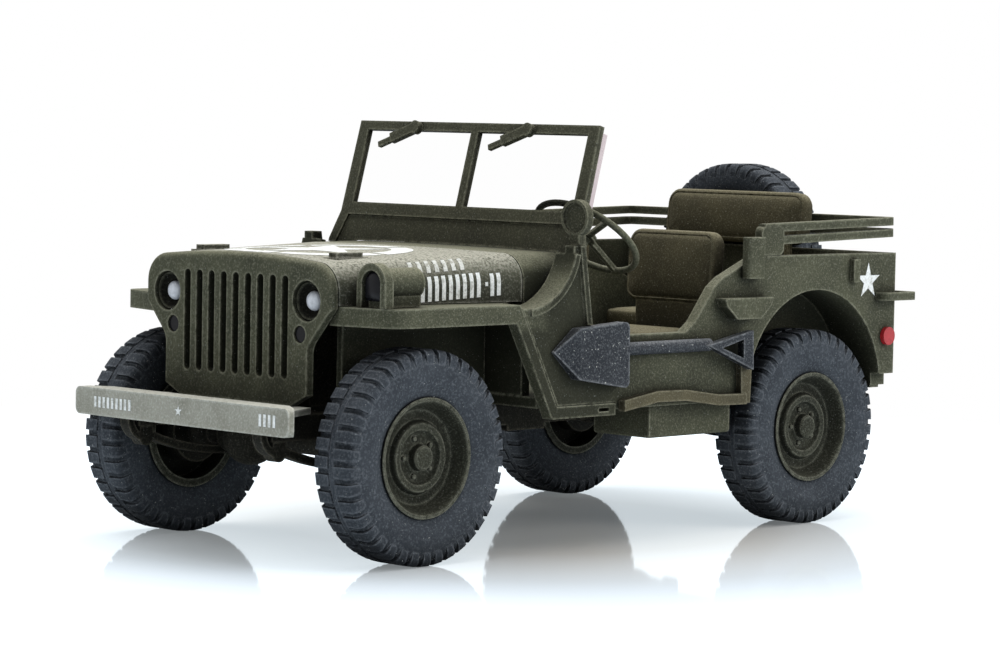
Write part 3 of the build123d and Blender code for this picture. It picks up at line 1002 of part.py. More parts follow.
with BuildPart() as side_fittings:
    for side in (-1, 1):
        outward = Align.MIN if side > 0 else Align.MAX
        with Locations((REAR_AXLE_X + CLAMP_AHEAD, side * FITTING_Y, BODY_TOP_Z - CLAMP_BELOW)):
            Box(CLAMP_LENGTH, CLAMP_DEPTH, CLAMP_HEIGHT, align=(Align.CENTER, outward, Align.MIN))
    fillet(side_fittings.edges().filter_by(Axis.Z), CLAMP_ROUND)
    for side in (-1, 1):
        with Locations((REAR_AXLE_X - CATCH_BEHIND, side * FITTING_Y, BODY_TOP_Z - CATCH_BELOW)):
            Box(CATCH_LENGTH, CATCH_DEPTH, CATCH_HEIGHT,
                align=(Align.CENTER, Align.MIN if side > 0 else Align.MAX, Align.MIN))
    for side in (-1, 1):
        with BuildSketch(Plane.XZ.offset(-side * FITTING_Y)):
            with BuildLine():
                Polyline(*[(REAR_AXLE_X + x, BODY_TOP_Z - GRIP_TOP_BELOW - z) for x, z in GRIP_OUTLINE],
                         close=True)
            make_face()
        extrude(amount=-side * GRIP_DEPTH)
        # corner handle: out from the side, back and round to the rear panel
        root_x = REAR_AXLE_X - HANDLE_ROOT_BEHIND
        far_x = BODY_REAR_X - HANDLE_REACH
        inner_y, outer_y = BODY_SIDE_Y + HANDLE_OUT, BODY_SIDE_Y + HANDLE_OUT + HANDLE_SIZE
        end_y = BODY_SIDE_Y - HANDLE_INBOARD
        with BuildSketch(Plane.XY.offset(BODY_TOP_Z - HANDLE_BELOW - HANDLE_SIZE / 2)):
            with BuildLine():
                Polyline(*[(x, side * y) for x, y in (
                    (root_x, FITTING_Y), (root_x, outer_y), (far_x, outer_y), (far_x, end_y),
                    (BODY_REAR_X - FITTING_GAP, end_y), (BODY_REAR_X - FITTING_GAP, end_y + HANDLE_SIZE),
                    (far_x + HANDLE_SIZE, end_y + HANDLE_SIZE), (far_x + HANDLE_SIZE, inner_y),
                    (root_x - HANDLE_SIZE, inner_y), (root_x - HANDLE_SIZE, FITTING_Y))], close=True)
            make_face()
            fillet([vertices().sort_by_distance((x, side * outer_y))[0] for x in (root_x, far_x)],
                   HANDLE_CORNER)
        extrude(amount=HANDLE_SIZE)

REFLECTOR_RADIUS = 0.40
REFLECTOR_THICKNESS = 0.20
REFLECTOR_Z = BODY_TOP_Z - 3.70
REFLECTOR_X = BODY_REAR_X + 0.60
TAIL_LAMP_Y = BODY_SIDE_Y - 1.3
TAIL_LAMP_Z = BODY_TOP_Z - 4.77
TAIL_LAMP_RADIUS = 0.45
with BuildPart() as rear_lamps:
    for side in (-1, 1):
        with BuildSketch(Plane.XZ.offset(-side * FITTING_Y)):
            with Locations((REFLECTOR_X, REFLECTOR_Z)):
                Circle(REFLECTOR_RADIUS)
        extrude(amount=-side * REFLECTOR_THICKNESS)
        for radius, depth, z in ((REFLECTOR_RADIUS, REFLECTOR_THICKNESS, REFLECTOR_Z),
                                 (TAIL_LAMP_RADIUS, TAIL_LAMP_RADIUS, TAIL_LAMP_Z)):
            with BuildSketch(Plane.YZ.offset(BODY_REAR_X - FITTING_GAP)):
                with Locations((side * TAIL_LAMP_Y, z)):
                    Circle(radius)
            extrude(amount=-depth)

# ---------------------------------------------------------------- pioneer tools on the left side
TOOL_GAP = 0.02                  # off the body's side
TOOL_Y = BODY_SIDE_Y + TOOL_GAP
BLADE_OUTLINE = (                # ahead of the blade's rear edge, height over the shaft
    (0.00, -1.60), (0.05, 1.14), (2.94, 0.94), (4.15, 0.00), (2.94, -1.14),
)
BLADE_X = FRONT_AXLE_X - 10.82
BLADE_THICKNESS = 0.50
BLADE_EDGE = 0.14                # thickness left at its point
BLADE_ROUND = 0.25
TOOL_SHAFT_RADIUS = 0.27
SHOVEL_Z = BODY_BOTTOM_Z + 2.48
GRIP_APEX = (REAR_AXLE_X + 7.89, SHOVEL_Z)
GRIP_OUTER = (GRIP_APEX, (REAR_AXLE_X + 5.01, SHOVEL_Z + 0.54), (REAR_AXLE_X + 4.95, SHOVEL_Z - 1.14))
GRIP_INNER = ((REAR_AXLE_X + 6.98, SHOVEL_Z - 0.14), (REAR_AXLE_X + 5.62, SHOVEL_Z + 0.18),
              (REAR_AXLE_X + 5.59, SHOVEL_Z - 0.62))
GRIP_THICKNESS = 0.36
GRIP_OFFSET = 0.32               # grip lies outside the axe's head
with BuildPart() as shovel:
    with BuildSketch(Plane.XZ.offset(-TOOL_Y)):
        with BuildLine():
            Polyline(*[(BLADE_X + x, SHOVEL_Z + z) for x, z in BLADE_OUTLINE], close=True)
        make_face()
        fillet(vertices().group_by(Axis.X)[0] + vertices().group_by(Axis.X)[1], BLADE_ROUND)
    extrude(amount=-BLADE_THICKNESS)
    # blade slopes inwards from its widest part to its point
    with BuildSketch(Plane.XY.offset(SHOVEL_Z)):
        with BuildLine():
            Polyline((BLADE_X + BLADE_OUTLINE[2][0], TOOL_Y + BLADE_THICKNESS),
                     (BLADE_X + BLADE_OUTLINE[3][0], TOOL_Y + BLADE_EDGE),
                     (BLADE_X + BLADE_OUTLINE[3][0], TOOL_Y + 2 * BLADE_THICKNESS), close=True)
        make_face()
    extrude(amount=BLADE_THICKNESS * 4, both=True, mode=Mode.SUBTRACT)
    shaft_rear_x = (GRIP_APEX[0] + GRIP_INNER[0][0]) / 2
    with BuildSketch(Plane.YZ.offset(BLADE_X + BLADE_ROUND)):
        with Locations((TOOL_Y + TOOL_SHAFT_RADIUS, SHOVEL_Z)):
            Circle(TOOL_SHAFT_RADIUS)
    extrude(amount=-(BLADE_X + BLADE_ROUND - shaft_rear_x))
    with BuildSketch(Plane.XZ.offset(-TOOL_Y - GRIP_OFFSET)):
        for outline, mode in ((GRIP_OUTER, Mode.ADD), (GRIP_INNER, Mode.SUBTRACT)):
            with BuildLine():
                Polyline(*outline, close=True)
            make_face(mode=mode)
    extrude(amount=-GRIP_THICKNESS)

AXE_LINE = (                     # handle's centre line: ahead of the rear axle, over the side's edge
    (12.64, 0.15), (10.62, 0.44), (8.85, 0.42), (6.73, 0.12), (4.97, 0.09),
)
AXE_HANDLE = 0.46
AXE_HANDLE_DEPTH = 0.36
AXE_HEAD_LOW = -0.09             # over the side's edge
AXE_HEAD_HIGH = 1.80
AXE_HEAD_WIDTHS = (0.55, 0.72)   # at its foot, at its edge
AXE_HEAD_DEPTH = 0.30
with BuildPart() as axe:
    with BuildSketch(Plane.XZ.offset(-TOOL_Y)):
        with BuildLine():
            upper = [(REAR_AXLE_X + x, BODY_BOTTOM_Z + z + AXE_HANDLE / 2) for x, z in AXE_LINE]
            lower = [(REAR_AXLE_X + x, BODY_BOTTOM_Z + z - AXE_HANDLE / 2) for x, z in AXE_LINE]
            Polyline(*upper, *reversed(lower), close=True)
        make_face()
    extrude(amount=-AXE_HANDLE_DEPTH)
    with BuildSketch(Plane.XZ.offset(-TOOL_Y)):
        with BuildLine():
            head_x = REAR_AXLE_X + AXE_LINE[-1][0]
            foot, edge = AXE_HEAD_WIDTHS
            Polyline((head_x - foot / 2, BODY_BOTTOM_Z + AXE_HEAD_LOW),
                     (head_x + foot / 2, BODY_BOTTOM_Z + AXE_HEAD_LOW),
                     (head_x + edge / 2, BODY_BOTTOM_Z + AXE_HEAD_HIGH),
                     (head_x - edge / 2, BODY_BOTTOM_Z + AXE_HEAD_HIGH), close=True)
        make_face()
    extrude(amount=-AXE_HEAD_DEPTH)

# ---------------------------------------------------------------- wheels
RIM_SEAT_RADIUS = RIM_RADIUS - 0.10
RIM_WALL = 0.16
HUB_CAP_RADIUS = 0.50
HUB_CAP_REACH = 0.82
# rim half section: radius, outward position
RIM_PROFILE = (
    (HUB_BORE, DISC_FRONT - DISC_THICKNESS), (RIM_SEAT_RADIUS - RIM_WALL, DISC_FRONT - DISC_THICKNESS),
    (RIM_SEAT_RADIUS - RIM_WALL, -RIM_LIP_REACH), (RIM_RADIUS + 0.08, -RIM_LIP_REACH),
    (RIM_RADIUS + 0.08, -RIM_LIP_REACH + 0.1), (RIM_SEAT_RADIUS, -RIM_LIP_REACH + 0.1),
    (RIM_SEAT_RADIUS, RIM_LIP_REACH - 0.1), (RIM_RADIUS + 0.08, RIM_LIP_REACH - 0.1),
    (RIM_RADIUS + 0.08, RIM_LIP_REACH), (RIM_SEAT_RADIUS - RIM_WALL, RIM_LIP_REACH),
    (RIM_SEAT_RADIUS - RIM_WALL, DISC_FRONT - 0.12), (1.40, DISC_FRONT - 0.05),
    (1.30, DISC_FRONT + 0.16), (1.02, DISC_FRONT + 0.16), (0.92, DISC_FRONT - 0.02),
    (HUB_CAP_RADIUS, DISC_FRONT - 0.02), (HUB_CAP_RADIUS, HUB_CAP_REACH),
    (0, HUB_CAP_REACH), (0, HUB_CAP_REACH - 0.2), (HUB_BORE, HUB_CAP_REACH - 0.2),
)
LUG_COUNT = 38
LUG_SHARE = 0.62                 # of the pitch
LUG_DEPTH = 0.15
TREAD_REACH = 0.90               # half the tread's width
SIDEWALL_RADIUS = 3.35           # where the tyre is widest
BEAD_REACH = 0.80
BEAD_SINK = 0.50                 # overshoot of the cut that sinks the sidewall
SHOULDER_REACH = 0.84


def wheel_plane(x, y, z, outward):
    """Frame of a wheel: its local z is the outward axis."""
    return Plane(origin=(x, y, z), x_dir=(0, 0, 1), z_dir=outward)


def wheel_rim(place):
    """Revolved rim, disc and hub cap."""
    with BuildPart() as rim:
        with BuildSketch(Plane.XZ):
            with BuildLine():
                Polyline(*RIM_PROFILE, close=True)
            make_face()
        revolve(axis=Axis.Z)
    rim.part.locate(place.location)
    return rim


def ring(radius, reach):
    """Corners of a regular polygon with a facet for each lug."""
    pitch = 2 * pi / LUG_COUNT
    return [(radius * cos(lug * pitch), radius * sin(lug * pitch), reach) for lug in range(LUG_COUNT)]


def frustum(low, high):
    """Solid with flat facets between two rings of corners."""
    sides = [Face(Wire.make_polygon([low[k - 1], low[k], high[k], high[k - 1]])) for k in range(LUG_COUNT)]
    return Solid(Shell([Face(Wire.make_polygon(low)), Face(Wire.make_polygon(high)), *sides]))


def wheel_tyre(place):
    """Tyre of flat facets, one to each lug: barred tread, sidewalls and a bore that clears the rim."""
    pitch = 2 * pi / LUG_COUNT
    root = TYRE_RADIUS - LUG_DEPTH
    tip = TYRE_RADIUS / cos(LUG_SHARE * pitch / 2)
    bore = (RIM_SEAT_RADIUS + BEAD_CLEARANCE) / cos(pitch / 2)
    slope = (TYRE_WIDTH / 2 - BEAD_REACH) / (SIDEWALL_RADIUS - bore)
    half_lug = LUG_SHARE / 2
    teeth = [(radius * cos((lug + step) * pitch), radius * sin((lug + step) * pitch))
             for lug in range(LUG_COUNT)
             for radius, step in ((root, -half_lug), (tip, -half_lug), (tip, half_lug), (root, half_lug))]
    with BuildPart() as tyre:
        with BuildSketch():
            with BuildLine():
                Polyline(*teeth, close=True)
            make_face()
        extrude(amount=TREAD_REACH)
        add(frustum(ring(root, SHOULDER_REACH), ring(SIDEWALL_RADIUS, TYRE_WIDTH / 2)))
        # sidewall sinks towards the rim, past both ends of its slope
        add(frustum(ring(bore - BEAD_SINK, BEAD_REACH - BEAD_SINK * slope),
                    ring(SIDEWALL_RADIUS + BEAD_SINK, TYRE_WIDTH / 2 + BEAD_SINK * slope)),
            mode=Mode.SUBTRACT)
        with BuildSketch():
            with BuildLine():
                Polyline(*ring(bore, 0), close=True)
            make_face()
        extrude(amount=TYRE_WIDTH, mode=Mode.SUBTRACT)
        mirror(about=Plane.XY)
    tyre.part.locate(place.location)
    return tyre


CORNERS = (                      # name, axle x, side
    ("front_left", FRONT_AXLE_X, 1), ("front_right", FRONT_AXLE_X, -1),
    ("rear_left", REAR_AXLE_X, 1), ("rear_right", REAR_AXLE_X, -1),
)
wheels = {}
for corner, x, side in CORNERS:
    place = wheel_plane(x, side * WHEEL_Y, AXLE_Z, (0, side, 0))
    wheels[f"rim_{corner}"] = wheel_rim(place)
    wheels[f"tyre_{corner}"] = wheel_tyre(place)

spare_place = wheel_plane(SPARE_X, SPARE_Y, SPARE_Z, (-1, 0, 0))

PIECES = {
    "chassis_frame": chassis_frame, "front_axle": front_axle, "rear_axle": rear_axle,
    "leaf_springs": leaf_springs, "engine_block": engine_block, "gearbox": gearbox,
    "driveshafts": driveshafts, "exhaust": exhaust, "fuel_tank": fuel_tank,
    "front_bumper": front_bumper, "bumperettes": bumperettes, "tow_hook": tow_hook,
    "body_tub": body_tub, "cowl": cowl, "hood": hood, "grille": grille, "radiator": radiator,
    "headlights": headlights, "marker_lamps": marker_lamps, "blackout_lamp": blackout_lamp,
    "fender_left": fender_left, "fender_right": fender_right,
    "windshield_frame": windshield_frame, "windshield_glass": windshield_glass, "wipers": wipers,
    "mirror": mirror_arm, "steering_wheel": steering_wheel, "driver_seat": driver_seat,
    "passenger_seat": passenger_seat, "rear_seat": rear_seat, "top_bows": top_bows,
    "side_fittings": side_fittings, "rear_lamps": rear_lamps, "shovel": shovel, "axe": axe,
    **wheels, "spare_rim": wheel_rim(spare_place), "spare_tyre": wheel_tyre(spare_place),
}
for name, piece in PIECES.items():
    piece.part.label = name
    export_step(piece.part, f"parts/{name}.step")
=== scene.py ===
"""Looks of a 1:87 scale model of a small open army 4x4 car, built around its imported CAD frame.

Metres throughout. +X is the car's front, +Y its left side, +Z up, the ground at z = 0.
"""
import math

import bmesh
import bpy
from mathutils import Matrix, Vector
from mathutils.bvhtree import BVHTree


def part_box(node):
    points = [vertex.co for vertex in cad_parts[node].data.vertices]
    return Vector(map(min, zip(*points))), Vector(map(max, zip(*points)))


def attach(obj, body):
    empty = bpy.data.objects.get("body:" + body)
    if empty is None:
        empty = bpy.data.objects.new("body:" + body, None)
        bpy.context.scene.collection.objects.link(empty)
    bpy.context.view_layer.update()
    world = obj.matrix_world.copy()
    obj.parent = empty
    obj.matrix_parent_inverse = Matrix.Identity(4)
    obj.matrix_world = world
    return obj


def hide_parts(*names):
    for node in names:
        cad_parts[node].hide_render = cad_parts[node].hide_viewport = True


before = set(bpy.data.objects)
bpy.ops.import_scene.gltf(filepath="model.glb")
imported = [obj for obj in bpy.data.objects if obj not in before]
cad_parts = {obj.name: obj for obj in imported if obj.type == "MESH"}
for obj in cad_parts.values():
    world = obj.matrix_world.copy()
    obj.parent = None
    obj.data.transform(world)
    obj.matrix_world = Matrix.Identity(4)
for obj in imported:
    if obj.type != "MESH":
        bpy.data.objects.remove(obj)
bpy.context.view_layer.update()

MM = 0.001

# ---------------------------------------------------------------- camera
CAMERA_PLACE = Vector((103.531, 101.388, 17.687)) * MM
CAMERA_YAW = math.radians(44.5813)      # looking back along -X and -Y
CAMERA_PITCH = math.radians(3.6905)     # downwards
CAMERA_ROLL = math.radians(1.0719)
CAMERA_LENS = 121.519                   # mm, on a 36 mm wide sensor


def add_camera():
    """The camera that took in the whole car from its front left corner."""
    forward = Vector((-math.cos(CAMERA_YAW) * math.cos(CAMERA_PITCH),
                      -math.sin(CAMERA_YAW) * math.cos(CAMERA_PITCH), -math.sin(CAMERA_PITCH)))
    right = forward.cross(Vector((0, 0, 1))).normalized()
    up = right.cross(forward)
    turn = Matrix.Rotation(-CAMERA_ROLL, 3, forward)
    right, up = turn @ right, turn @ up
    data = bpy.data.cameras.new("camera")
    data.lens = CAMERA_LENS
    data.sensor_width = 36.0
    data.clip_start = 0.005
    data.clip_end = 10.0
    camera = bpy.data.objects.new("camera", data)
    bpy.context.scene.collection.objects.link(camera)
    camera.matrix_world = Matrix(((right.x, up.x, -forward.x, CAMERA_PLACE.x),
                                  (right.y, up.y, -forward.y, CAMERA_PLACE.y),
                                  (right.z, up.z, -forward.z, CAMERA_PLACE.z), (0, 0, 0, 1)))
    bpy.context.scene.camera = camera


# ---------------------------------------------------------------- node helpers
class Nodes:
    """A material's node tree, with short calls to add and link nodes."""

    def __init__(self, name):
        self.material = bpy.data.materials.new(name)
        self.material.use_nodes = True
        self.tree = self.material.node_tree
        self.tree.nodes.clear()
        self.out = self.add("ShaderNodeOutputMaterial")

    def add(self, kind, inputs=None, **settings):
        node = self.tree.nodes.new(kind)
        for key, value in settings.items():
            setattr(node, key, value)
        for key, value in (inputs or {}).items():
            if isinstance(value, bpy.types.NodeSocket):
                self.tree.links.new(value, node.inputs[key])
            else:
                node.inputs[key].default_value = value
        return node

    def place(self):
        return self.add("ShaderNodeTexCoord").outputs["Object"]

    def noise(self, place, size, detail=2.0, rough=0.5):
        """Noise whose features are about size metres across."""
        return self.add("ShaderNodeTexNoise", {"Vector": place, "Scale": 1 / size, "Detail": detail,
                                               "Roughness": rough}).outputs["Fac"]

    def ramp(self, factor, low, high, start=0.0, end=1.0):
        """Value from start to end while factor goes from low to high."""
        return self.add("ShaderNodeMapRange", {"Value": factor, "From Min": low, "From Max": high,
                                               "To Min": start, "To Max": end}).outputs["Result"]

    def math(self, operation, a, b=0.0):
        return self.add("ShaderNodeMath", {0: a, 1: b}, operation=operation).outputs[0]

    def mix(self, factor, a, b):
        return self.add("ShaderNodeMix", {0: factor, 6: a, 7: b}, data_type="RGBA").outputs[2]


def rgb(red, green, blue):
    return (red, green, blue, 1.0)


# ---------------------------------------------------------------- materials
PAINT_SHEEN = 0.07               # low, because glossy rays see a white world
EDGE_RADIUS = 0.00016            # m, how far from an edge the paint is lightened
HOLLOW_SHADE_REACH = 0.0024            # m, how far the painted shade of a hollow spreads
SPECK_TONE = (0.50, 0.51, 0.48)
# Painted shade behind the front wheel: below the fender's top, between the door and the axle.
WHEEL_SHADE_TOP, WHEEL_SHADE_TOP_FADED = 0.0089, 0.0093
WHEEL_SHADE_COWL, WHEEL_SHADE_COWL_FADED = 0.0060, 0.0066
WHEEL_SHADE_REAR, WHEEL_SHADE_REAR_FADED = 0.0030, 0.0005
WHEEL_SHADE_FRONT, WHEEL_SHADE_FRONT_FADED = 0.0112, 0.0128


def painted(name, colour, light, dark, grain=0.00008, bump=0.55, roughness=0.72, edge=0.75,
            specks=0.30, dust_and_top_light=0.45, shade=0.5, speck_size=0.00007, wheel_well_shade=0.0):
    """Matt paint over a grainy print: mottled, lighter on edges, dust and painted highlight on top
    faces, painted shade on sides, in hollows and behind the front wheel.
    """
    n = Nodes(name)
    place = n.place()
    mottle = n.noise(place, 0.0020, 3.0, 0.6)
    fine = n.noise(place, grain, 3.0, 0.65)
    body = n.mix(n.ramp(mottle, 0.35, 0.68), rgb(*dark), rgb(*colour))
    geometry = n.add("ShaderNodeNewGeometry").outputs["Normal"]
    height = n.add("ShaderNodeSeparateXYZ", {"Vector": geometry}).outputs["Z"]
    # painted shade: faces turned sideways or downwards are darker, by their normal
    body = n.mix(n.ramp(height, 0.55, -0.25, 0.0, shade), body, rgb(*[0.45 * c for c in dark]))
    # dust and painted highlight: faces turned up are lighter
    dusted_and_lit = n.math("MULTIPLY", n.ramp(height, 0.35, 0.95, 0.0, dust_and_top_light), n.ramp(fine, 0.30, 0.55))
    body = n.mix(dusted_and_lit, body, rgb(*light))
    body = n.mix(n.ramp(fine, 0.50, 0.72, 0.0, 0.40), body, rgb(*light))
    body = n.mix(n.ramp(fine, 0.42, 0.28, 0.0, 0.35), body, rgb(*[0.5 * c for c in dark]))
    # painted shade: upright faces behind the front wheel are darkened by place, standing in for the
    # shadow there
    if wheel_well_shade:
        where = n.add("ShaderNodeSeparateXYZ", {"Vector": place}).outputs
        zone = n.math("MAXIMUM", n.ramp(where["Z"], WHEEL_SHADE_TOP_FADED, WHEEL_SHADE_TOP),
                      n.ramp(where["X"], WHEEL_SHADE_COWL_FADED, WHEEL_SHADE_COWL))
        zone = n.math("MULTIPLY", zone, n.ramp(where["X"], WHEEL_SHADE_REAR_FADED, WHEEL_SHADE_REAR))
        zone = n.math("MULTIPLY", zone, n.ramp(where["X"], WHEEL_SHADE_FRONT_FADED, WHEEL_SHADE_FRONT))
        upright = n.ramp(n.math("ABSOLUTE", height), 0.6, 0.3, 0.0, wheel_well_shade)
        wheel_well_shade_mask = n.math("MULTIPLY", zone, upright)
        body = n.mix(wheel_well_shade_mask, body, rgb(*[0.25 * c for c in dark]))
    # lighter along edges, kept off hollows
    soft = n.add("ShaderNodeBevel", {"Radius": EDGE_RADIUS}, samples=4).outputs["Normal"]
    bend = n.add("ShaderNodeVectorMath", {0: geometry, 1: soft}, operation="DOT_PRODUCT")
    edge_lightening = n.ramp(bend.outputs["Value"], 0.99, 0.88)
    edge_lightening = n.math("MULTIPLY", edge_lightening, n.ramp(n.noise(place, 0.00025, 3.0, 0.7), 0.32, 0.58))
    # painted shade: ambient occlusion darkens hollows and the undersides of parts
    hollow_shade = n.add("ShaderNodeAmbientOcclusion", {"Distance": HOLLOW_SHADE_REACH},
                   samples=6).outputs["AO"]
    body = n.mix(n.ramp(hollow_shade, 0.35, 0.92, 0.92, 0.0), body, rgb(*[0.18 * c for c in dark]))
    body = n.mix(n.math("MULTIPLY", n.math("MULTIPLY", edge_lightening, edge), n.ramp(hollow_shade, 0.2, 0.55)),
                 body, rgb(*light))
    speck = n.ramp(n.noise(place, speck_size, 1.0, 0.5), 0.72, 0.78, 0.0, specks)
    body = n.mix(speck, body, rgb(*SPECK_TONE))
    relief = n.add("ShaderNodeBump", {"Height": fine, "Strength": bump, "Distance": 0.00005})
    shader = n.add("ShaderNodeBsdfPrincipled",
                   {"Base Color": body, "Roughness": roughness, "Normal": relief.outputs["Normal"]})
    shader.inputs["Specular IOR Level"].default_value = PAINT_SHEEN
    n.tree.links.new(shader.outputs[0], n.out.inputs[0])
    return n.material


def plain(name, colour, roughness=0.3, grain=0.0002, bump=0.15, specular=0.5):
    """Smooth moulded piece, such as a lens, with a little grain."""
    n = Nodes(name)
    fine = n.noise(n.place(), grain, 2.0, 0.6)
    body = n.mix(n.ramp(fine, 0.35, 0.7), rgb(*colour), rgb(*[0.75 * c for c in colour]))
    height = n.add("ShaderNodeBump", {"Height": fine, "Strength": bump, "Distance": 0.00003})
    shader = n.add("ShaderNodeBsdfPrincipled",
                   {"Base Color": body, "Roughness": roughness, "Normal": height.outputs["Normal"]})
    shader.inputs["Specular IOR Level"].default_value = specular
    n.tree.links.new(shader.outputs[0], n.out.inputs[0])
    return n.material


def clear_sheet(name):
    """Thin clear plastic: nearly unseen face on, faintly pink along its edges."""
    n = Nodes(name)
    tint = n.noise(n.place(), 0.004)
    edge_tone = n.mix(tint, rgb(0.50, 0.40, 0.40), rgb(0.62, 0.52, 0.52))
    facing = n.add("ShaderNodeNewGeometry").outputs["Normal"]
    across = n.add("ShaderNodeVectorMath", {0: facing, 1: PANE_NORMAL}, operation="DOT_PRODUCT")
    flat = n.ramp(n.math("ABSOLUTE", across.outputs["Value"]), 0.75, 0.95)
    clear = n.add("ShaderNodeBsdfTransparent", {"Color": rgb(0.995, 0.995, 0.995)})
    rim = n.add("ShaderNodeBsdfPrincipled", {"Base Color": edge_tone, "Roughness": 0.35})
    shader = n.add("ShaderNodeMixShader", {0: flat, 1: rim.outputs[0], 2: clear.outputs[0]})
    n.tree.links.new(shader.outputs[0], n.out.inputs[0])
    return n.material


def mark_paint(name, wear=0.55):
    """Thin white stencil paint, with the olive under it showing through in patches."""
    n = Nodes(name)
    place = n.place()
    fine = n.noise(place, 0.00010, 2.0, 0.6)
    worn = n.ramp(n.noise(place, 0.00030, 4.0, 0.75), 0.50, 0.62)
    body = n.mix(n.ramp(fine, 0.35, 0.65), rgb(0.70, 0.72, 0.70), rgb(0.88, 0.89, 0.87))
    body = n.mix(n.ramp(worn, 0.0, 1.0, wear - 0.45, wear), body, rgb(0.17, 0.165, 0.11))
    height = n.add("ShaderNodeBump", {"Height": fine, "Strength": 0.4, "Distance": 0.00003})
    shader = n.add("ShaderNodeBsdfPrincipled",
                   {"Base Color": body, "Roughness": 0.7, "Normal": height.outputs["Normal"]})
    n.tree.links.new(shader.outputs[0], n.out.inputs[0])
    return n.material


WINDSHIELD_LEAN = math.radians(15.3)
PANE_NORMAL = (math.cos(WINDSHIELD_LEAN), 0.0, math.sin(WINDSHIELD_LEAN))

OLIVE = painted("olive_paint", (0.105, 0.107, 0.068), (0.300, 0.295, 0.215), (0.062, 0.064, 0.042),
                wheel_well_shade=0.75)
# hood: its top strongly lightened, partly dust and partly painted highlight
HOOD = painted("hood_paint", (0.100, 0.101, 0.070), (0.44, 0.43, 0.36), (0.066, 0.068, 0.048),
               dust_and_top_light=0.85, grain=0.00010)
BUMPER = painted("bumper_paint", (0.37, 0.365, 0.310), (0.62, 0.62, 0.56), (0.25, 0.245, 0.20),
                 shade=0.0, grain=0.00010)
PANEL = painted("panel_paint", (0.064, 0.064, 0.042), (0.230, 0.225, 0.160), (0.048, 0.048, 0.033),
                shade=0.2)
# near-black chassis paint: painted shade of the dark underside of the car
CHASSIS_SHADE = painted("chassis_paint", (0.024, 0.023, 0.017), (0.11, 0.10, 0.075),
                  (0.012, 0.012, 0.009))
SEAT = painted("seat_paint", (0.084, 0.074, 0.042), (0.265, 0.24, 0.155), (0.062, 0.055, 0.033),
               edge=0.8, shade=0.3, dust_and_top_light=0.7, grain=0.00007)
TYRE = painted("tyre_rubber", (0.052, 0.059, 0.068), (0.19, 0.205, 0.225), (0.034, 0.039, 0.046),
               grain=0.00010, bump=0.6, roughness=0.85, edge=0.55, specks=0.5, dust_and_top_light=0.0, shade=0.0)
# dark olive wheel paint, made darker still as painted shade in the dish
WHEEL = painted("wheel_paint", (0.036, 0.037, 0.026), (0.20, 0.20, 0.155), (0.020, 0.021, 0.015),
                dust_and_top_light=0.0, shade=0.0, edge=1.0)
STEEL = painted("tool_steel", (0.034, 0.038, 0.044), (0.26, 0.27, 0.28), (0.022, 0.025, 0.030),
                grain=0.00008, bump=0.7, roughness=0.6, edge=0.8, specks=0.9, shade=0.1,
                speck_size=0.00011)
WOOD = painted("tool_handle", (0.105, 0.092, 0.054), (0.26, 0.24, 0.17), (0.070, 0.062, 0.038),
               shade=0.2)
# near-black bowl paint: painted shade inside the sunk headlight hollows
BOWL_SHADE = painted("lamp_bowl_shade", (0.020, 0.020, 0.014), (0.120, 0.120, 0.085), (0.010, 0.010, 0.008),
               dust_and_top_light=0.1, shade=0.0)
LENS = plain("white_lens", (0.66, 0.68, 0.72), 0.35)
DARK_LENS = plain("dark_lens", (0.010, 0.010, 0.012), 0.25, specular=0.12)
RED = plain("red_reflector", (0.42, 0.020, 0.026), 0.25)
GLAZING = clear_sheet("clear_sheet")
WHITE = mark_paint("white_marks", 0.5)
FRESH = mark_paint("fresh_marks", 0.45)
FAINT = mark_paint("worn_marks", 0.85)

NODE_MATERIALS = {
    "windshield_glass": GLAZING, "marker_lamps": DARK_LENS, "headlights": DARK_LENS, "hood": HOOD,
    "front_bumper": BUMPER, "windshield_frame": PANEL, "wipers": PANEL, "mirror": PANEL,
    "rear_lamps": RED, "shovel": STEEL, "axe": WOOD, "fuel_tank": OLIVE,
    "driver_seat": SEAT, "passenger_seat": SEAT, "rear_seat": SEAT,
}
CHASSIS_NODES = ("chassis_frame", "front_axle", "rear_axle", "leaf_springs", "engine_block",
                 "gearbox", "driveshafts", "exhaust", "radiator")


def material_for(node):
    """Finish of a CAD node, by its name."""
    if node in NODE_MATERIALS:
        return NODE_MATERIALS[node]
    if node in CHASSIS_NODES:
        return CHASSIS_SHADE
    if node.startswith("tyre_") or node == "spare_tyre":
        return TYRE
    if node.startswith("rim_") or node == "spare_rim":
        return WHEEL
    return OLIVE


def dress_nodes():
    """Gives every CAD node its finish."""
    for node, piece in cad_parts.items():
        for slot in piece.material_slots:
            slot.material = material_for(node)


# ---------------------------------------------------------------- mesh helpers
def add_piece(name, mesh_data, material, body, replaces=(), smooth=35):
    """Links a mesh built as a bmesh, dresses it and lets it ride on a body."""
    mesh = bpy.data.meshes.new(name)
    bmesh.ops.recalc_face_normals(mesh_data, faces=mesh_data.faces)
    mesh_data.to_mesh(mesh)
    mesh_data.free()
    mesh.materials.append(material)
    mesh.shade_smooth()
    mesh.set_sharp_from_angle(angle=math.radians(smooth))
    piece = bpy.data.objects.new(name, mesh)
    bpy.context.scene.collection.objects.link(piece)
    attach(piece, body)
    if replaces:
        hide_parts(*replaces)
    return piece


def prism(mesh_data, low, high):
    """Closed prism between two matching rings of points."""
    bottom = [mesh_data.verts.new(point) for point in low]
    top = [mesh_data.verts.new(point) for point in high]
    mesh_data.faces.new(bottom)
    mesh_data.faces.new(top)
    for k in range(len(low)):
        mesh_data.faces.new((bottom[k - 1], bottom[k], top[k], top[k - 1]))


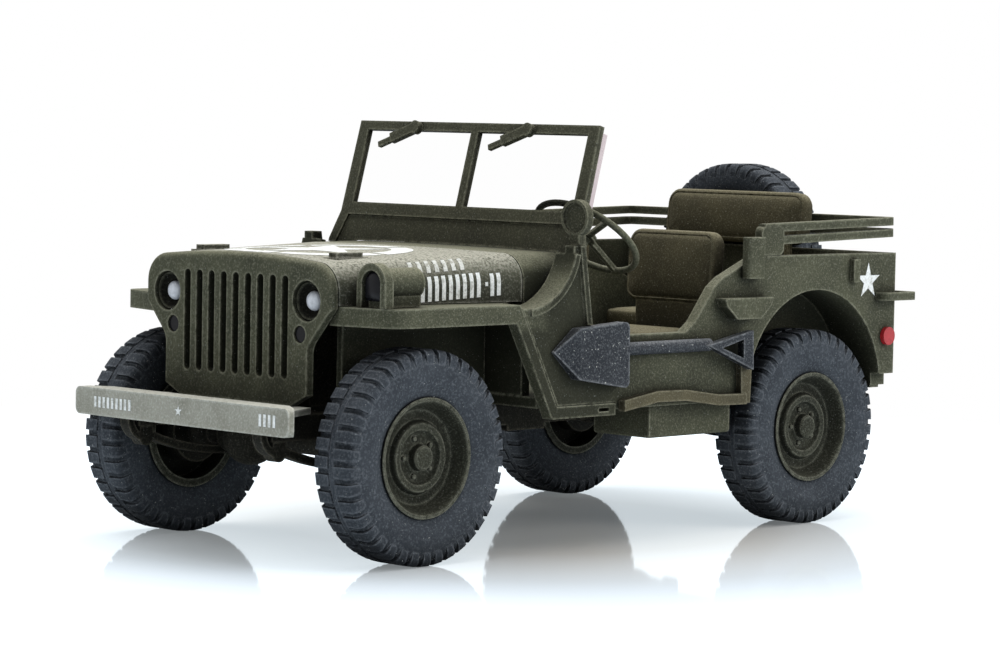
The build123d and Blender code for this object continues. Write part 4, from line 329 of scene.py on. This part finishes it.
def revolved(mesh_data, profile, segments, matrix, closed=False):
    """Surface of revolution of (radius, reach) points about the local z axis."""
    rings = []
    for radius, reach in profile:
        if radius < 1e-9:
            rings.append([mesh_data.verts.new(matrix @ Vector((0, 0, reach)))] * segments)
            continue
        rings.append([mesh_data.verts.new(matrix @ Vector((
            radius * math.cos(2 * math.pi * k / segments),
            radius * math.sin(2 * math.pi * k / segments), reach))) for k in range(segments)])
    pairs = list(zip(rings, rings[1:]))
    if closed:
        pairs.append((rings[-1], rings[0]))
    for ring, following in pairs:
        for k in range(segments):
            corners = []
            for vertex in (ring[k - 1], ring[k], following[k], following[k - 1]):
                if vertex not in corners:
                    corners.append(vertex)
            if len(corners) > 2:
                mesh_data.faces.new(corners)


def scaled(points):
    """Pairs in mm, as metres."""
    return [(a * MM, b * MM) for a, b in points]


# ---------------------------------------------------------------- wheels
WHEELS = {                       # tyre node: rim node, body, outward axis
    "tyre_front_left": ("rim_front_left", "wheel_front_left", (0, 1, 0)),
    "tyre_front_right": ("rim_front_right", "wheel_front_right", (0, -1, 0)),
    "tyre_rear_left": ("rim_rear_left", "wheel_rear_left", (0, 1, 0)),
    "tyre_rear_right": ("rim_rear_right", "wheel_rear_right", (0, -1, 0)),
    "spare_tyre": ("spare_rim", "chassis", (-1, 0, 0)),
}
LUGS = 38
TYRE_SECTION = (                 # radius, reach: bead, sidewall, shoulder, tread
    (2.23, 0.78), (2.42, 0.86), (2.62, 0.90), (2.90, 1.00), (3.25, 1.05), (3.58, 1.035),
    (3.86, 0.99), (4.05, 0.90), (4.12, 0.76), (4.13, 0.50), (4.13, 0.20), (4.20, 0.12),
)
LUG_SECTION = (                  # radius, reach, half width as a share of the pitch
    (3.70, 1.03, 0.26), (3.92, 1.055, 0.30), (4.12, 1.01, 0.33), (4.23, 0.88, 0.34),
    (4.25, 0.74, 0.34), (4.25, 0.16, 0.32), (4.02, 0.13, 0.36), (3.74, 0.84, 0.30),
)
RIM_SECTION = (                  # radius, reach: barrel, lip, well, disc, ring, recess, cap
    (2.04, -0.97), (2.36, -0.97), (2.38, -0.94), (2.36, -0.89), (2.20, -0.86), (2.20, 0.80),
    (2.30, 0.86), (2.37, 0.90), (2.38, 0.94), (2.35, 0.97), (2.24, 0.965), (2.16, 0.88),
    (2.10, 0.72), (2.02, 0.50), (1.86, 0.34), (1.62, 0.31), (1.48, 0.36), (1.42, 0.50),
    (1.34, 0.585), (1.20, 0.60), (1.08, 0.56), (1.01, 0.44), (0.92, 0.39), (0.62, 0.39),
    (0.54, 0.43), (0.51, 0.56), (0.49, 0.74), (0.42, 0.80), (0.25, 0.82), (0.0, 0.82),
)
RIM_BACK = ((0.36, 0.12), (1.90, 0.12), (2.04, 0.05), (2.04, -0.97))
BOLTS = 5
BOLT_CIRCLE, BOLT_REACH = 0.77, 0.37
BOLT_SECTION = ((0.0, 0.0), (0.11, 0.0), (0.11, 0.11), (0.07, 0.15), (0.0, 0.15))
RIM_SEGMENTS = 96


def wheel_matrix(node, outward):
    """Wheel frame: x up, z outward, at the middle of the node."""
    low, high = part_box(node)
    middle = (low + high) / 2
    z = Vector(outward)
    x = Vector((0, 0, 1))
    y = z.cross(x)
    return Matrix(((x.x, y.x, z.x, middle.x), (x.y, y.y, z.y, middle.y), (x.z, y.z, z.z, middle.z),
                   (0, 0, 0, 1)))


def add_tyre(node, body, outward):
    """Ribbed tyre with a row of staggered lugs round each shoulder."""
    matrix = wheel_matrix(node, outward)
    data = bmesh.new()
    half = scaled(TYRE_SECTION)
    revolved(data, half + [(radius, -reach) for radius, reach in reversed(half)], 4 * LUGS, matrix,
             closed=True)
    pitch = 2 * math.pi / LUGS
    for side, shift in ((1, 0.0), (-1, 0.5)):
        for lug in range(LUGS):
            rings = []
            for edge in (-1, 1):
                rings.append([matrix @ Vector((
                    radius * MM * math.cos((lug + shift + edge * share) * pitch),
                    radius * MM * math.sin((lug + shift + edge * share) * pitch),
                    side * reach * MM))
                    for radius, reach, share in LUG_SECTION])
            prism(data, *rings)
    return add_piece(f"{node}_tread", data, TYRE, body, (node,), smooth=40)


def add_rim(rim, tyre, body, outward):
    """Pressed wheel: lip, dish, raised ring with its nuts, and hub cap."""
    matrix = wheel_matrix(tyre, outward)
    data = bmesh.new()
    revolved(data, scaled(RIM_SECTION), RIM_SEGMENTS, matrix)
    revolved(data, scaled(RIM_BACK), RIM_SEGMENTS, matrix)
    for bolt in range(BOLTS):
        angle = 2 * math.pi * (bolt + 0.25) / BOLTS
        centre = Vector((BOLT_CIRCLE * MM * math.cos(angle), BOLT_CIRCLE * MM * math.sin(angle),
                         BOLT_REACH * MM))
        revolved(data, scaled(BOLT_SECTION), 6, matrix @ Matrix.Translation(centre))
    return add_piece(f"{rim}_dish", data, WHEEL, body, (rim,), smooth=32)


def add_wheels():
    for tyre, (rim, body, outward) in WHEELS.items():
        add_tyre(tyre, body, outward)
        add_rim(rim, tyre, body, outward)


# ---------------------------------------------------------------- lamps
GRILLE_FACE = 15.64              # front face of the grille, mm
LAMP_Y, LAMP_Z = 4.20, 10.25
BOWL_SECTION = (                 # radius, reach from the grille's face: case, lip, bowl, floor
    (0.0, -1.22), (0.70, -1.22), (0.755, -1.16), (0.76, -0.19), (0.745, -0.145), (0.715, -0.14),
    (0.68, -0.17), (0.655, -0.26), (0.58, -0.46), (0.50, -0.50), (0.0, -0.50),
)
LENS_SECTION = (
    (0.0, -0.52), (0.37, -0.52), (0.39, -0.45), (0.38, -0.37), (0.34, -0.30), (0.26, -0.235),
    (0.14, -0.20), (0.0, -0.19),
)
BLACKOUT_FACE = 14.535           # front of the small lamp's body, inside its guard
BLACKOUT_LENS = (6.90, 11.03, 0.50, 0.66)    # y, z, half width, drop of its straight sides
BLACKOUT_DOME = (                # share of the outline, rise
    (1.0, -0.03), (1.0, 0.03), (0.93, 0.09), (0.75, 0.15), (0.45, 0.19), (0.15, 0.20),
)


def facing(middle, outward=(1, 0, 0)):
    """Frame with x up, z outward, at a point in mm."""
    z = Vector(outward).normalized()
    x = (Vector((0, 0, 1)) - z * z.z).normalized()
    y = z.cross(x)
    middle = Vector(middle) * MM
    return Matrix(((x.x, y.x, z.x, middle.x), (x.y, y.y, z.y, middle.y), (x.z, y.z, z.z, middle.z),
                   (0, 0, 0, 1)))


def add_lamps():
    """Sunk bowls with domed lenses, and the dark arched lens of the small lamp."""
    bowls, lenses = bmesh.new(), bmesh.new()
    for side in (-1, 1):
        frame_here = facing((GRILLE_FACE, side * LAMP_Y, LAMP_Z))
        revolved(bowls, scaled(BOWL_SECTION), 48, frame_here)
        revolved(lenses, scaled(LENS_SECTION), 36, frame_here)
    add_piece("headlight_bowls", bowls, BOWL_SHADE, "chassis", ("headlights",), smooth=50)
    add_piece("headlight_lenses", lenses, LENS, "chassis", smooth=60)
    data = bmesh.new()
    y, z, half, drop = BLACKOUT_LENS
    arch = [(half * math.cos(math.radians(a)), half * math.sin(math.radians(a)))
            for a in range(0, 181, 10)]
    arch += [(-half, -drop / 2), (-half * 0.9, -drop), (0.0, -drop * 1.03), (half * 0.9, -drop),
             (half, -drop / 2)]
    rings = []
    for share, rise in BLACKOUT_DOME:
        rings.append([data.verts.new(Vector((BLACKOUT_FACE + rise, y + a * share,
                                             z - drop * 0.2 + (b + drop * 0.2) * share)) * MM)
                      for a, b in arch])
    for ring, following in zip(rings, rings[1:]):
        for k in range(len(arch)):
            data.faces.new((ring[k - 1], ring[k], following[k], following[k - 1]))
    data.faces.new(rings[0])
    data.faces.new(rings[-1])
    add_piece("blackout_lens", data, DARK_LENS, "chassis", smooth=60)


# ---------------------------------------------------------------- seats
SEAT_FOOT_X, SEAT_Y, SEAT_FLOOR = -5.39, 3.97, 6.30
REAR_FOOT_X, REAR_LEG_Y = -14.13, 3.35
BACK_HEIGHT, REAR_BACK_HEIGHT = 3.15, 2.35
PAD_HALF_Y = 2.525
REAR_LEG_HALF = 0.15


def rounded_ring(half_x, half_y, corner, steps=7):
    """Points round a rounded rectangle, centred at 0."""
    points = []
    for k, (sign_x, sign_y) in enumerate(((1, 1), (-1, 1), (-1, -1), (1, -1))):
        for step in range(steps):
            angle = math.radians(90 * k + 90 * step / (steps - 1))
            points.append((sign_x * (half_x - corner) + corner * math.cos(angle),
                           sign_y * (half_y - corner) + corner * math.sin(angle)))
    return points


def add_pad(mesh_data, matrix, half_x, half_y, corner, depth, crown):
    """Crowned pad with a welt line round its face: local z is 0 at the top of the crown."""
    reach = min(half_x, half_y)
    levels = [(0.06, -depth), (0.0, -depth + 0.10), (0.0, -crown - 0.24), (0.03, -crown - 0.12),
              (0.09, -crown - 0.04), (0.16, -crown - 0.02), (0.20, -crown - 0.07),
              (0.24, -crown - 0.02)]
    for k in range(1, 9):
        inset = 0.24 + (reach - 0.34) * k / 8
        levels.append((inset, -crown * (1 - math.sin(math.pi / 2 * k / 8) ** 0.8)))
    rings = []
    for inset, height in levels:
        ring = rounded_ring(half_x - inset, half_y - inset, max(corner - inset, 0.05))
        rings.append([mesh_data.verts.new(matrix @ (Vector((a, b, height)) * MM)) for a, b in ring])
    for ring, following in zip(rings, rings[1:]):
        for k in range(len(ring)):
            mesh_data.faces.new((ring[k - 1], ring[k], following[k], following[k - 1]))
    mesh_data.faces.new(rings[0])
    mesh_data.faces.new(rings[-1])


def add_block(mesh_data, low, high, bevel=0.06):
    """Box between two corners, in mm, with its edges rounded."""
    corners = [Vector((x, y, z)) * MM for z in (low[2], high[2]) for x, y in (
        (low[0], low[1]), (high[0], low[1]), (high[0], high[1]), (low[0], high[1]))]
    part = bmesh.new()
    prism(part, corners[:4], corners[4:])
    bmesh.ops.recalc_face_normals(part, faces=part.faces)
    bmesh.ops.bevel(part, geom=part.edges[:], offset=bevel * MM, segments=2, affect="EDGES")
    mesh = bpy.data.meshes.new("block")
    part.to_mesh(mesh)
    part.free()
    mesh_data.from_mesh(mesh)
    bpy.data.meshes.remove(mesh)


def leaning(foot, height, lean):
    """Frame of a backrest's face, at its middle, leaning back by so many degrees."""
    angle = math.radians(lean)
    up = Vector((-math.sin(angle), 0, math.cos(angle)))
    return facing(Vector(foot) + up * (height / 2), (math.cos(angle), 0, math.sin(angle)))


def level(middle):
    """Frame of a cushion's top, with x forward."""
    place = Vector(middle) * MM
    return Matrix(((1, 0, 0, place.x), (0, 1, 0, place.y), (0, 0, 1, place.z), (0, 0, 0, 1)))


def add_seats():
    """Hard moulded seats: crowned pads with welt lines on plain bases."""
    top, back_low = SEAT_FLOOR + 2.40, SEAT_FLOOR + 3.35
    for node, side in (("driver_seat", 1), ("passenger_seat", -1)):
        data = bmesh.new()
        y = side * SEAT_Y
        add_pad(data, leaning((SEAT_FOOT_X, y, back_low), BACK_HEIGHT, 5.0),
                BACK_HEIGHT / 2, PAD_HALF_Y, 0.62, 0.85, 0.17)
        add_pad(data, level((SEAT_FOOT_X + 2.20, y, top)), 2.20, PAD_HALF_Y, 0.45, 0.95, 0.14)
        add_block(data, (SEAT_FOOT_X + 0.5, y - 2.0, SEAT_FLOOR),
                  (SEAT_FOOT_X + 3.9, y + 2.0, top - 0.5))
        add_block(data, (SEAT_FOOT_X - 0.65, y - 1.92, top - 0.95),
                  (SEAT_FOOT_X + 0.1, y + 1.92, top - 0.30))
        add_block(data, (SEAT_FOOT_X - 0.65, y - 1.92, top - 0.90),
                  (SEAT_FOOT_X - 0.25, y + 1.92, back_low + 0.5))
        add_piece(f"{node}_pads", data, SEAT, "chassis", (node,), smooth=42)
    data = bmesh.new()
    low, cushion = SEAT_FLOOR + 5.75, SEAT_FLOOR + 2.60
    add_pad(data, leaning((REAR_FOOT_X, 0, low), REAR_BACK_HEIGHT, 8.0),
            REAR_BACK_HEIGHT / 2, 4.15, 0.68, 0.85, 0.17)
    add_pad(data, level((REAR_FOOT_X + 1.45, 0, cushion)), 1.95, 4.60, 0.45, 0.95, 0.14)
    for y in (-REAR_LEG_Y, REAR_LEG_Y):
        for x, height in ((REAR_FOOT_X - 0.30, low + 0.5), (REAR_FOOT_X + 3.15, cushion - 0.45)):
            add_block(data, (x - REAR_LEG_HALF, y - REAR_LEG_HALF, SEAT_FLOOR),
                      (x + REAR_LEG_HALF, y + REAR_LEG_HALF, height), 0.04)
    add_piece("rear_seat_pads", data, SEAT, "chassis", ("rear_seat",), smooth=42)


# ---------------------------------------------------------------- white marks
MARK_LIFT = 0.000012             # m, over the surface that carries the mark
MARK_CELL = 0.0003               # m, longest edge of a mark's mesh
MARK_REACH = 0.002               # m, how far out a mark starts before it is laid down
FINE_CELL = 0.00015


def surface_tree(node):
    """Ray target made of one CAD node."""
    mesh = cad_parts[node].data
    return BVHTree.FromPolygons([v.co for v in mesh.vertices],
                                [tuple(p.vertices) for p in mesh.polygons])


def add_mark(name, outlines, node, origin, across, up, cell=MARK_CELL, material=WHITE):
    """Flat outlines laid on a node's surface: points are (across, up) in mm from the origin."""
    tree = surface_tree(node)
    across, up = Vector(across), Vector(up)
    inward = up.cross(across).normalized()
    data = bmesh.new()
    for outline in outlines:
        data.faces.new([data.verts.new(Vector(origin) + across * (a * MM) + up * (b * MM))
                        for a, b in outline])
    bmesh.ops.triangulate(data, faces=data.faces)
    for _ in range(7):
        long_edges = [edge for edge in data.edges if edge.calc_length() > cell]
        if not long_edges:
            break
        bmesh.ops.subdivide_edges(data, edges=long_edges, cuts=1)
        bmesh.ops.triangulate(data, faces=[face for face in data.faces if len(face.verts) > 3])
    for vertex in data.verts:
        hit, normal = tree.ray_cast(vertex.co - inward * MARK_REACH, inward)[:2]
        if hit is not None:
            vertex.co = hit - inward * MARK_LIFT
    return add_piece(name, data, material, "chassis")


def star(radius, turn=0.0, centre=(0.0, 0.0)):
    """Five-pointed star as a fan of five kites."""
    inner = radius * math.sin(math.radians(18)) / math.sin(math.radians(54))
    kites = []
    for k in range(5):
        tip = turn + math.radians(90 + 72 * k)
        corners = ((inner, tip - math.radians(36)), (radius, tip), (inner, tip + math.radians(36)))
        kites.append([centre, *[(centre[0] + size * math.cos(angle),
                                 centre[1] + size * math.sin(angle)) for size, angle in corners]])
    return kites


def arc_band(inner, outer, start, end, steps=14):
    """Part of a ring, as short quadrilaterals, in degrees."""
    quads = []
    for k in range(steps):
        angles = [math.radians(start + (end - start) * j / steps) for j in (k, k + 1)]
        quads.append([(r * math.cos(a), r * math.sin(a)) for r, a in (
            (inner, angles[0]), (outer, angles[0]), (outer, angles[1]), (inner, angles[1]))])
    return quads


def bars(start, pitch, count, width, height, slant=0.0, lift=0.0):
    """Row of plain short bars, where the real thing is lettered."""
    return [[(start + k * pitch + (width if far else 0.0) + slant * b, b + lift)
             for far, b in ((False, 0), (True, 0), (True, height), (False, height))]
            for k in range(count)]


def add_marks():
    """Broken ring and stars, and rows of bars where the real thing is lettered."""
    middle = Vector((11.22 * MM, 0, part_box("hood")[1].z))
    ring = [quad for start in (4, 76, 148, 220, 292)
            for quad in arc_band(2.95, 3.85, start, start + 67)]
    add_mark("hood_ring", ring, "hood", middle, (0, 1, 0), (-1, 0, 0))
    add_mark("hood_star", star(3.05, math.pi), "hood", middle, (0, 1, 0), (-1, 0, 0))
    side = Vector((0, 6.45 * MM, 10.80 * MM))
    slope = Vector((-1, 0, 0.055)).normalized()
    row = bars(-11.68, 0.345, 10, 0.19, 0.98) + bars(-8.16, 0.20, 1, 0.14, 0.16, lift=0.42) + bars(
        -7.90, 0.33, 2, 0.19, 0.90)
    add_mark("hood_row", row, "hood", side, tuple(slope), (0, 0, 1), cell=FINE_CELL)
    shoulder = Vector((0, 6.25 * MM, 11.46 * MM))
    add_mark("hood_row_worn", bars(-11.75, 0.42, 7, 0.20, 0.60, 0.30), "hood", shoulder, (-1, 0, 0),
             (0, -0.5, 0.866), material=FAINT, cell=FINE_CELL)
    low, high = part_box("front_bumper")
    face = Vector((high.x, 0, (low.z + high.z) / 2))
    add_mark("bumper_star", star(0.23), "front_bumper", face, (0, 1, 0), (0, 0, 1), cell=0.0001,
             material=FRESH)
    lower = face - Vector((0, 0, 0.22 * MM))
    add_mark("bumper_row_right", bars(-5.25, 0.27, 9, 0.15, 0.44), "front_bumper", lower, (0, 1, 0),
             (0, 0, 1), cell=FINE_CELL, material=FRESH)
    add_mark("bumper_row_left", bars(4.76, 0.27, 4, 0.15, 0.48), "front_bumper", lower, (0, 1, 0),
             (0, 0, 1), cell=FINE_CELL, material=FRESH)
    beside = Vector((0, 8.1 * MM, 0))
    add_mark("side_star", star(0.83, 0.0, (14.30, 10.55)), "body_tub", beside, (-1, 0, 0),
             (0, 0, 1))


# ---------------------------------------------------------------- floor and light
def floor_material():
    """Pale glossy floor: white away from the car, with its shadow, painted shade near the car where
    its glow is dimmed, and a faint bluish reflection.
    """
    n = Nodes("floor")
    place = n.place()
    path = n.add("ShaderNodeLightPath")
    seen = n.math("MAXIMUM", path.outputs["Is Camera Ray"], path.outputs["Is Glossy Ray"])
    reach = n.add("ShaderNodeVectorMath", {0: place}, operation="LENGTH").outputs["Value"]
    tone = n.mix(n.ramp(reach, 0.010, 0.020), rgb(0.78, 0.74, 0.68), rgb(0.72, 0.81, 0.90))
    tone = n.mix(n.ramp(n.noise(place, 0.02), 0.3, 0.7, 0.0, 0.3), tone, rgb(0.84, 0.85, 0.86))
    matt = n.add("ShaderNodeBsdfDiffuse", {"Color": tone})
    gloss = n.add("ShaderNodeBsdfGlossy", {"Color": rgb(0.82, 0.91, 0.97), "Roughness": 0.05})
    sheen = n.ramp(reach, 0.018, 0.040, 0.55, 0.03)
    shader = n.add("ShaderNodeMixShader", {0: sheen, 1: matt.outputs[0], 2: gloss.outputs[0]})
    # painted shade: the floor's glow is dimmed near the car, darkening the floor round it
    glow = n.add("ShaderNodeEmission", {"Color": rgb(0.90, 0.97, 1.0), "Strength": n.math(
        "MULTIPLY", seen, n.ramp(reach, 0.010, 0.036, 0.10, 0.62))})
    both = n.add("ShaderNodeAddShader", {0: shader.outputs[0], 1: glow.outputs[0]})
    white = n.add("ShaderNodeEmission", {"Color": rgb(1, 1, 1)})
    far = n.math("MULTIPLY", seen, n.ramp(reach, 0.035, 0.060))
    whole = n.add("ShaderNodeMixShader", {0: far, 1: both.outputs[0], 2: white.outputs[0]})
    n.tree.links.new(whole.outputs[0], n.out.inputs[0])
    return n.material


def add_floor():
    """Wide flat floor under the wheels."""
    mesh = bpy.data.meshes.new("floor")
    half = 3.0
    mesh.from_pydata([(-half, -half, 0), (half, -half, 0), (half, half, 0), (-half, half, 0)], [],
                     [(0, 1, 2, 3)])
    floor = bpy.data.objects.new("floor", mesh)
    bpy.context.scene.collection.objects.link(floor)
    floor.data.materials.append(floor_material())


def add_softbox(name, place, target, size, power):
    """Rectangular lamp at a place, turned to a target, in metres and watts."""
    data = bpy.data.lights.new(name, "AREA")
    data.shape = "RECTANGLE"
    data.size, data.size_y = size
    data.energy = power
    lamp = bpy.data.objects.new(name, data)
    bpy.context.scene.collection.objects.link(lamp)
    lamp.location = place
    lamp.rotation_euler = (Vector(target) - Vector(place)).to_track_quat("-Z", "Y").to_euler()


def add_light():
    """Dim bluish world that camera, clear and glossy rays see as white, with two soft boxes."""
    world = bpy.data.worlds.new("studio")
    bpy.context.scene.world = world
    world.use_nodes = True
    tree = world.node_tree
    tree.nodes.clear()
    out = tree.nodes.new("ShaderNodeOutputWorld")
    path = tree.nodes.new("ShaderNodeLightPath")
    seen = tree.nodes.new("ShaderNodeMath")
    seen.operation = "MAXIMUM"
    tree.links.new(path.outputs["Is Camera Ray"], seen.inputs[0])
    tree.links.new(path.outputs["Is Transmission Ray"], seen.inputs[1])
    bright = tree.nodes.new("ShaderNodeMath")
    bright.operation = "MAXIMUM"
    tree.links.new(seen.outputs[0], bright.inputs[0])
    tree.links.new(path.outputs["Is Glossy Ray"], bright.inputs[1])
    light = tree.nodes.new("ShaderNodeBackground")
    light.inputs["Strength"].default_value = 0.40
    white = tree.nodes.new("ShaderNodeBackground")
    white.inputs["Color"].default_value = rgb(1, 1, 1)
    white.inputs["Strength"].default_value = 1.0
    light.inputs["Color"].default_value = rgb(0.97, 0.985, 1.0)
    mixer = tree.nodes.new("ShaderNodeMixShader")
    tree.links.new(bright.outputs[0], mixer.inputs[0])
    tree.links.new(light.outputs[0], mixer.inputs[1])
    tree.links.new(white.outputs[0], mixer.inputs[2])
    tree.links.new(mixer.outputs[0], out.inputs[0])
    add_softbox("top_box", (-0.03, -0.04, 0.32), (0, 0, 0), (0.42, 0.42), 1.6)
    add_softbox("rear_left_box", (-0.20, 0.28, 0.14), (-0.012, 0.006, 0.01), (0.20, 0.16), 0.55)


dress_nodes()
add_wheels()
add_lamps()
add_seats()
add_marks()
add_floor()
add_light()
add_camera()
bpy.context.scene.view_settings.view_transform = "Standard"
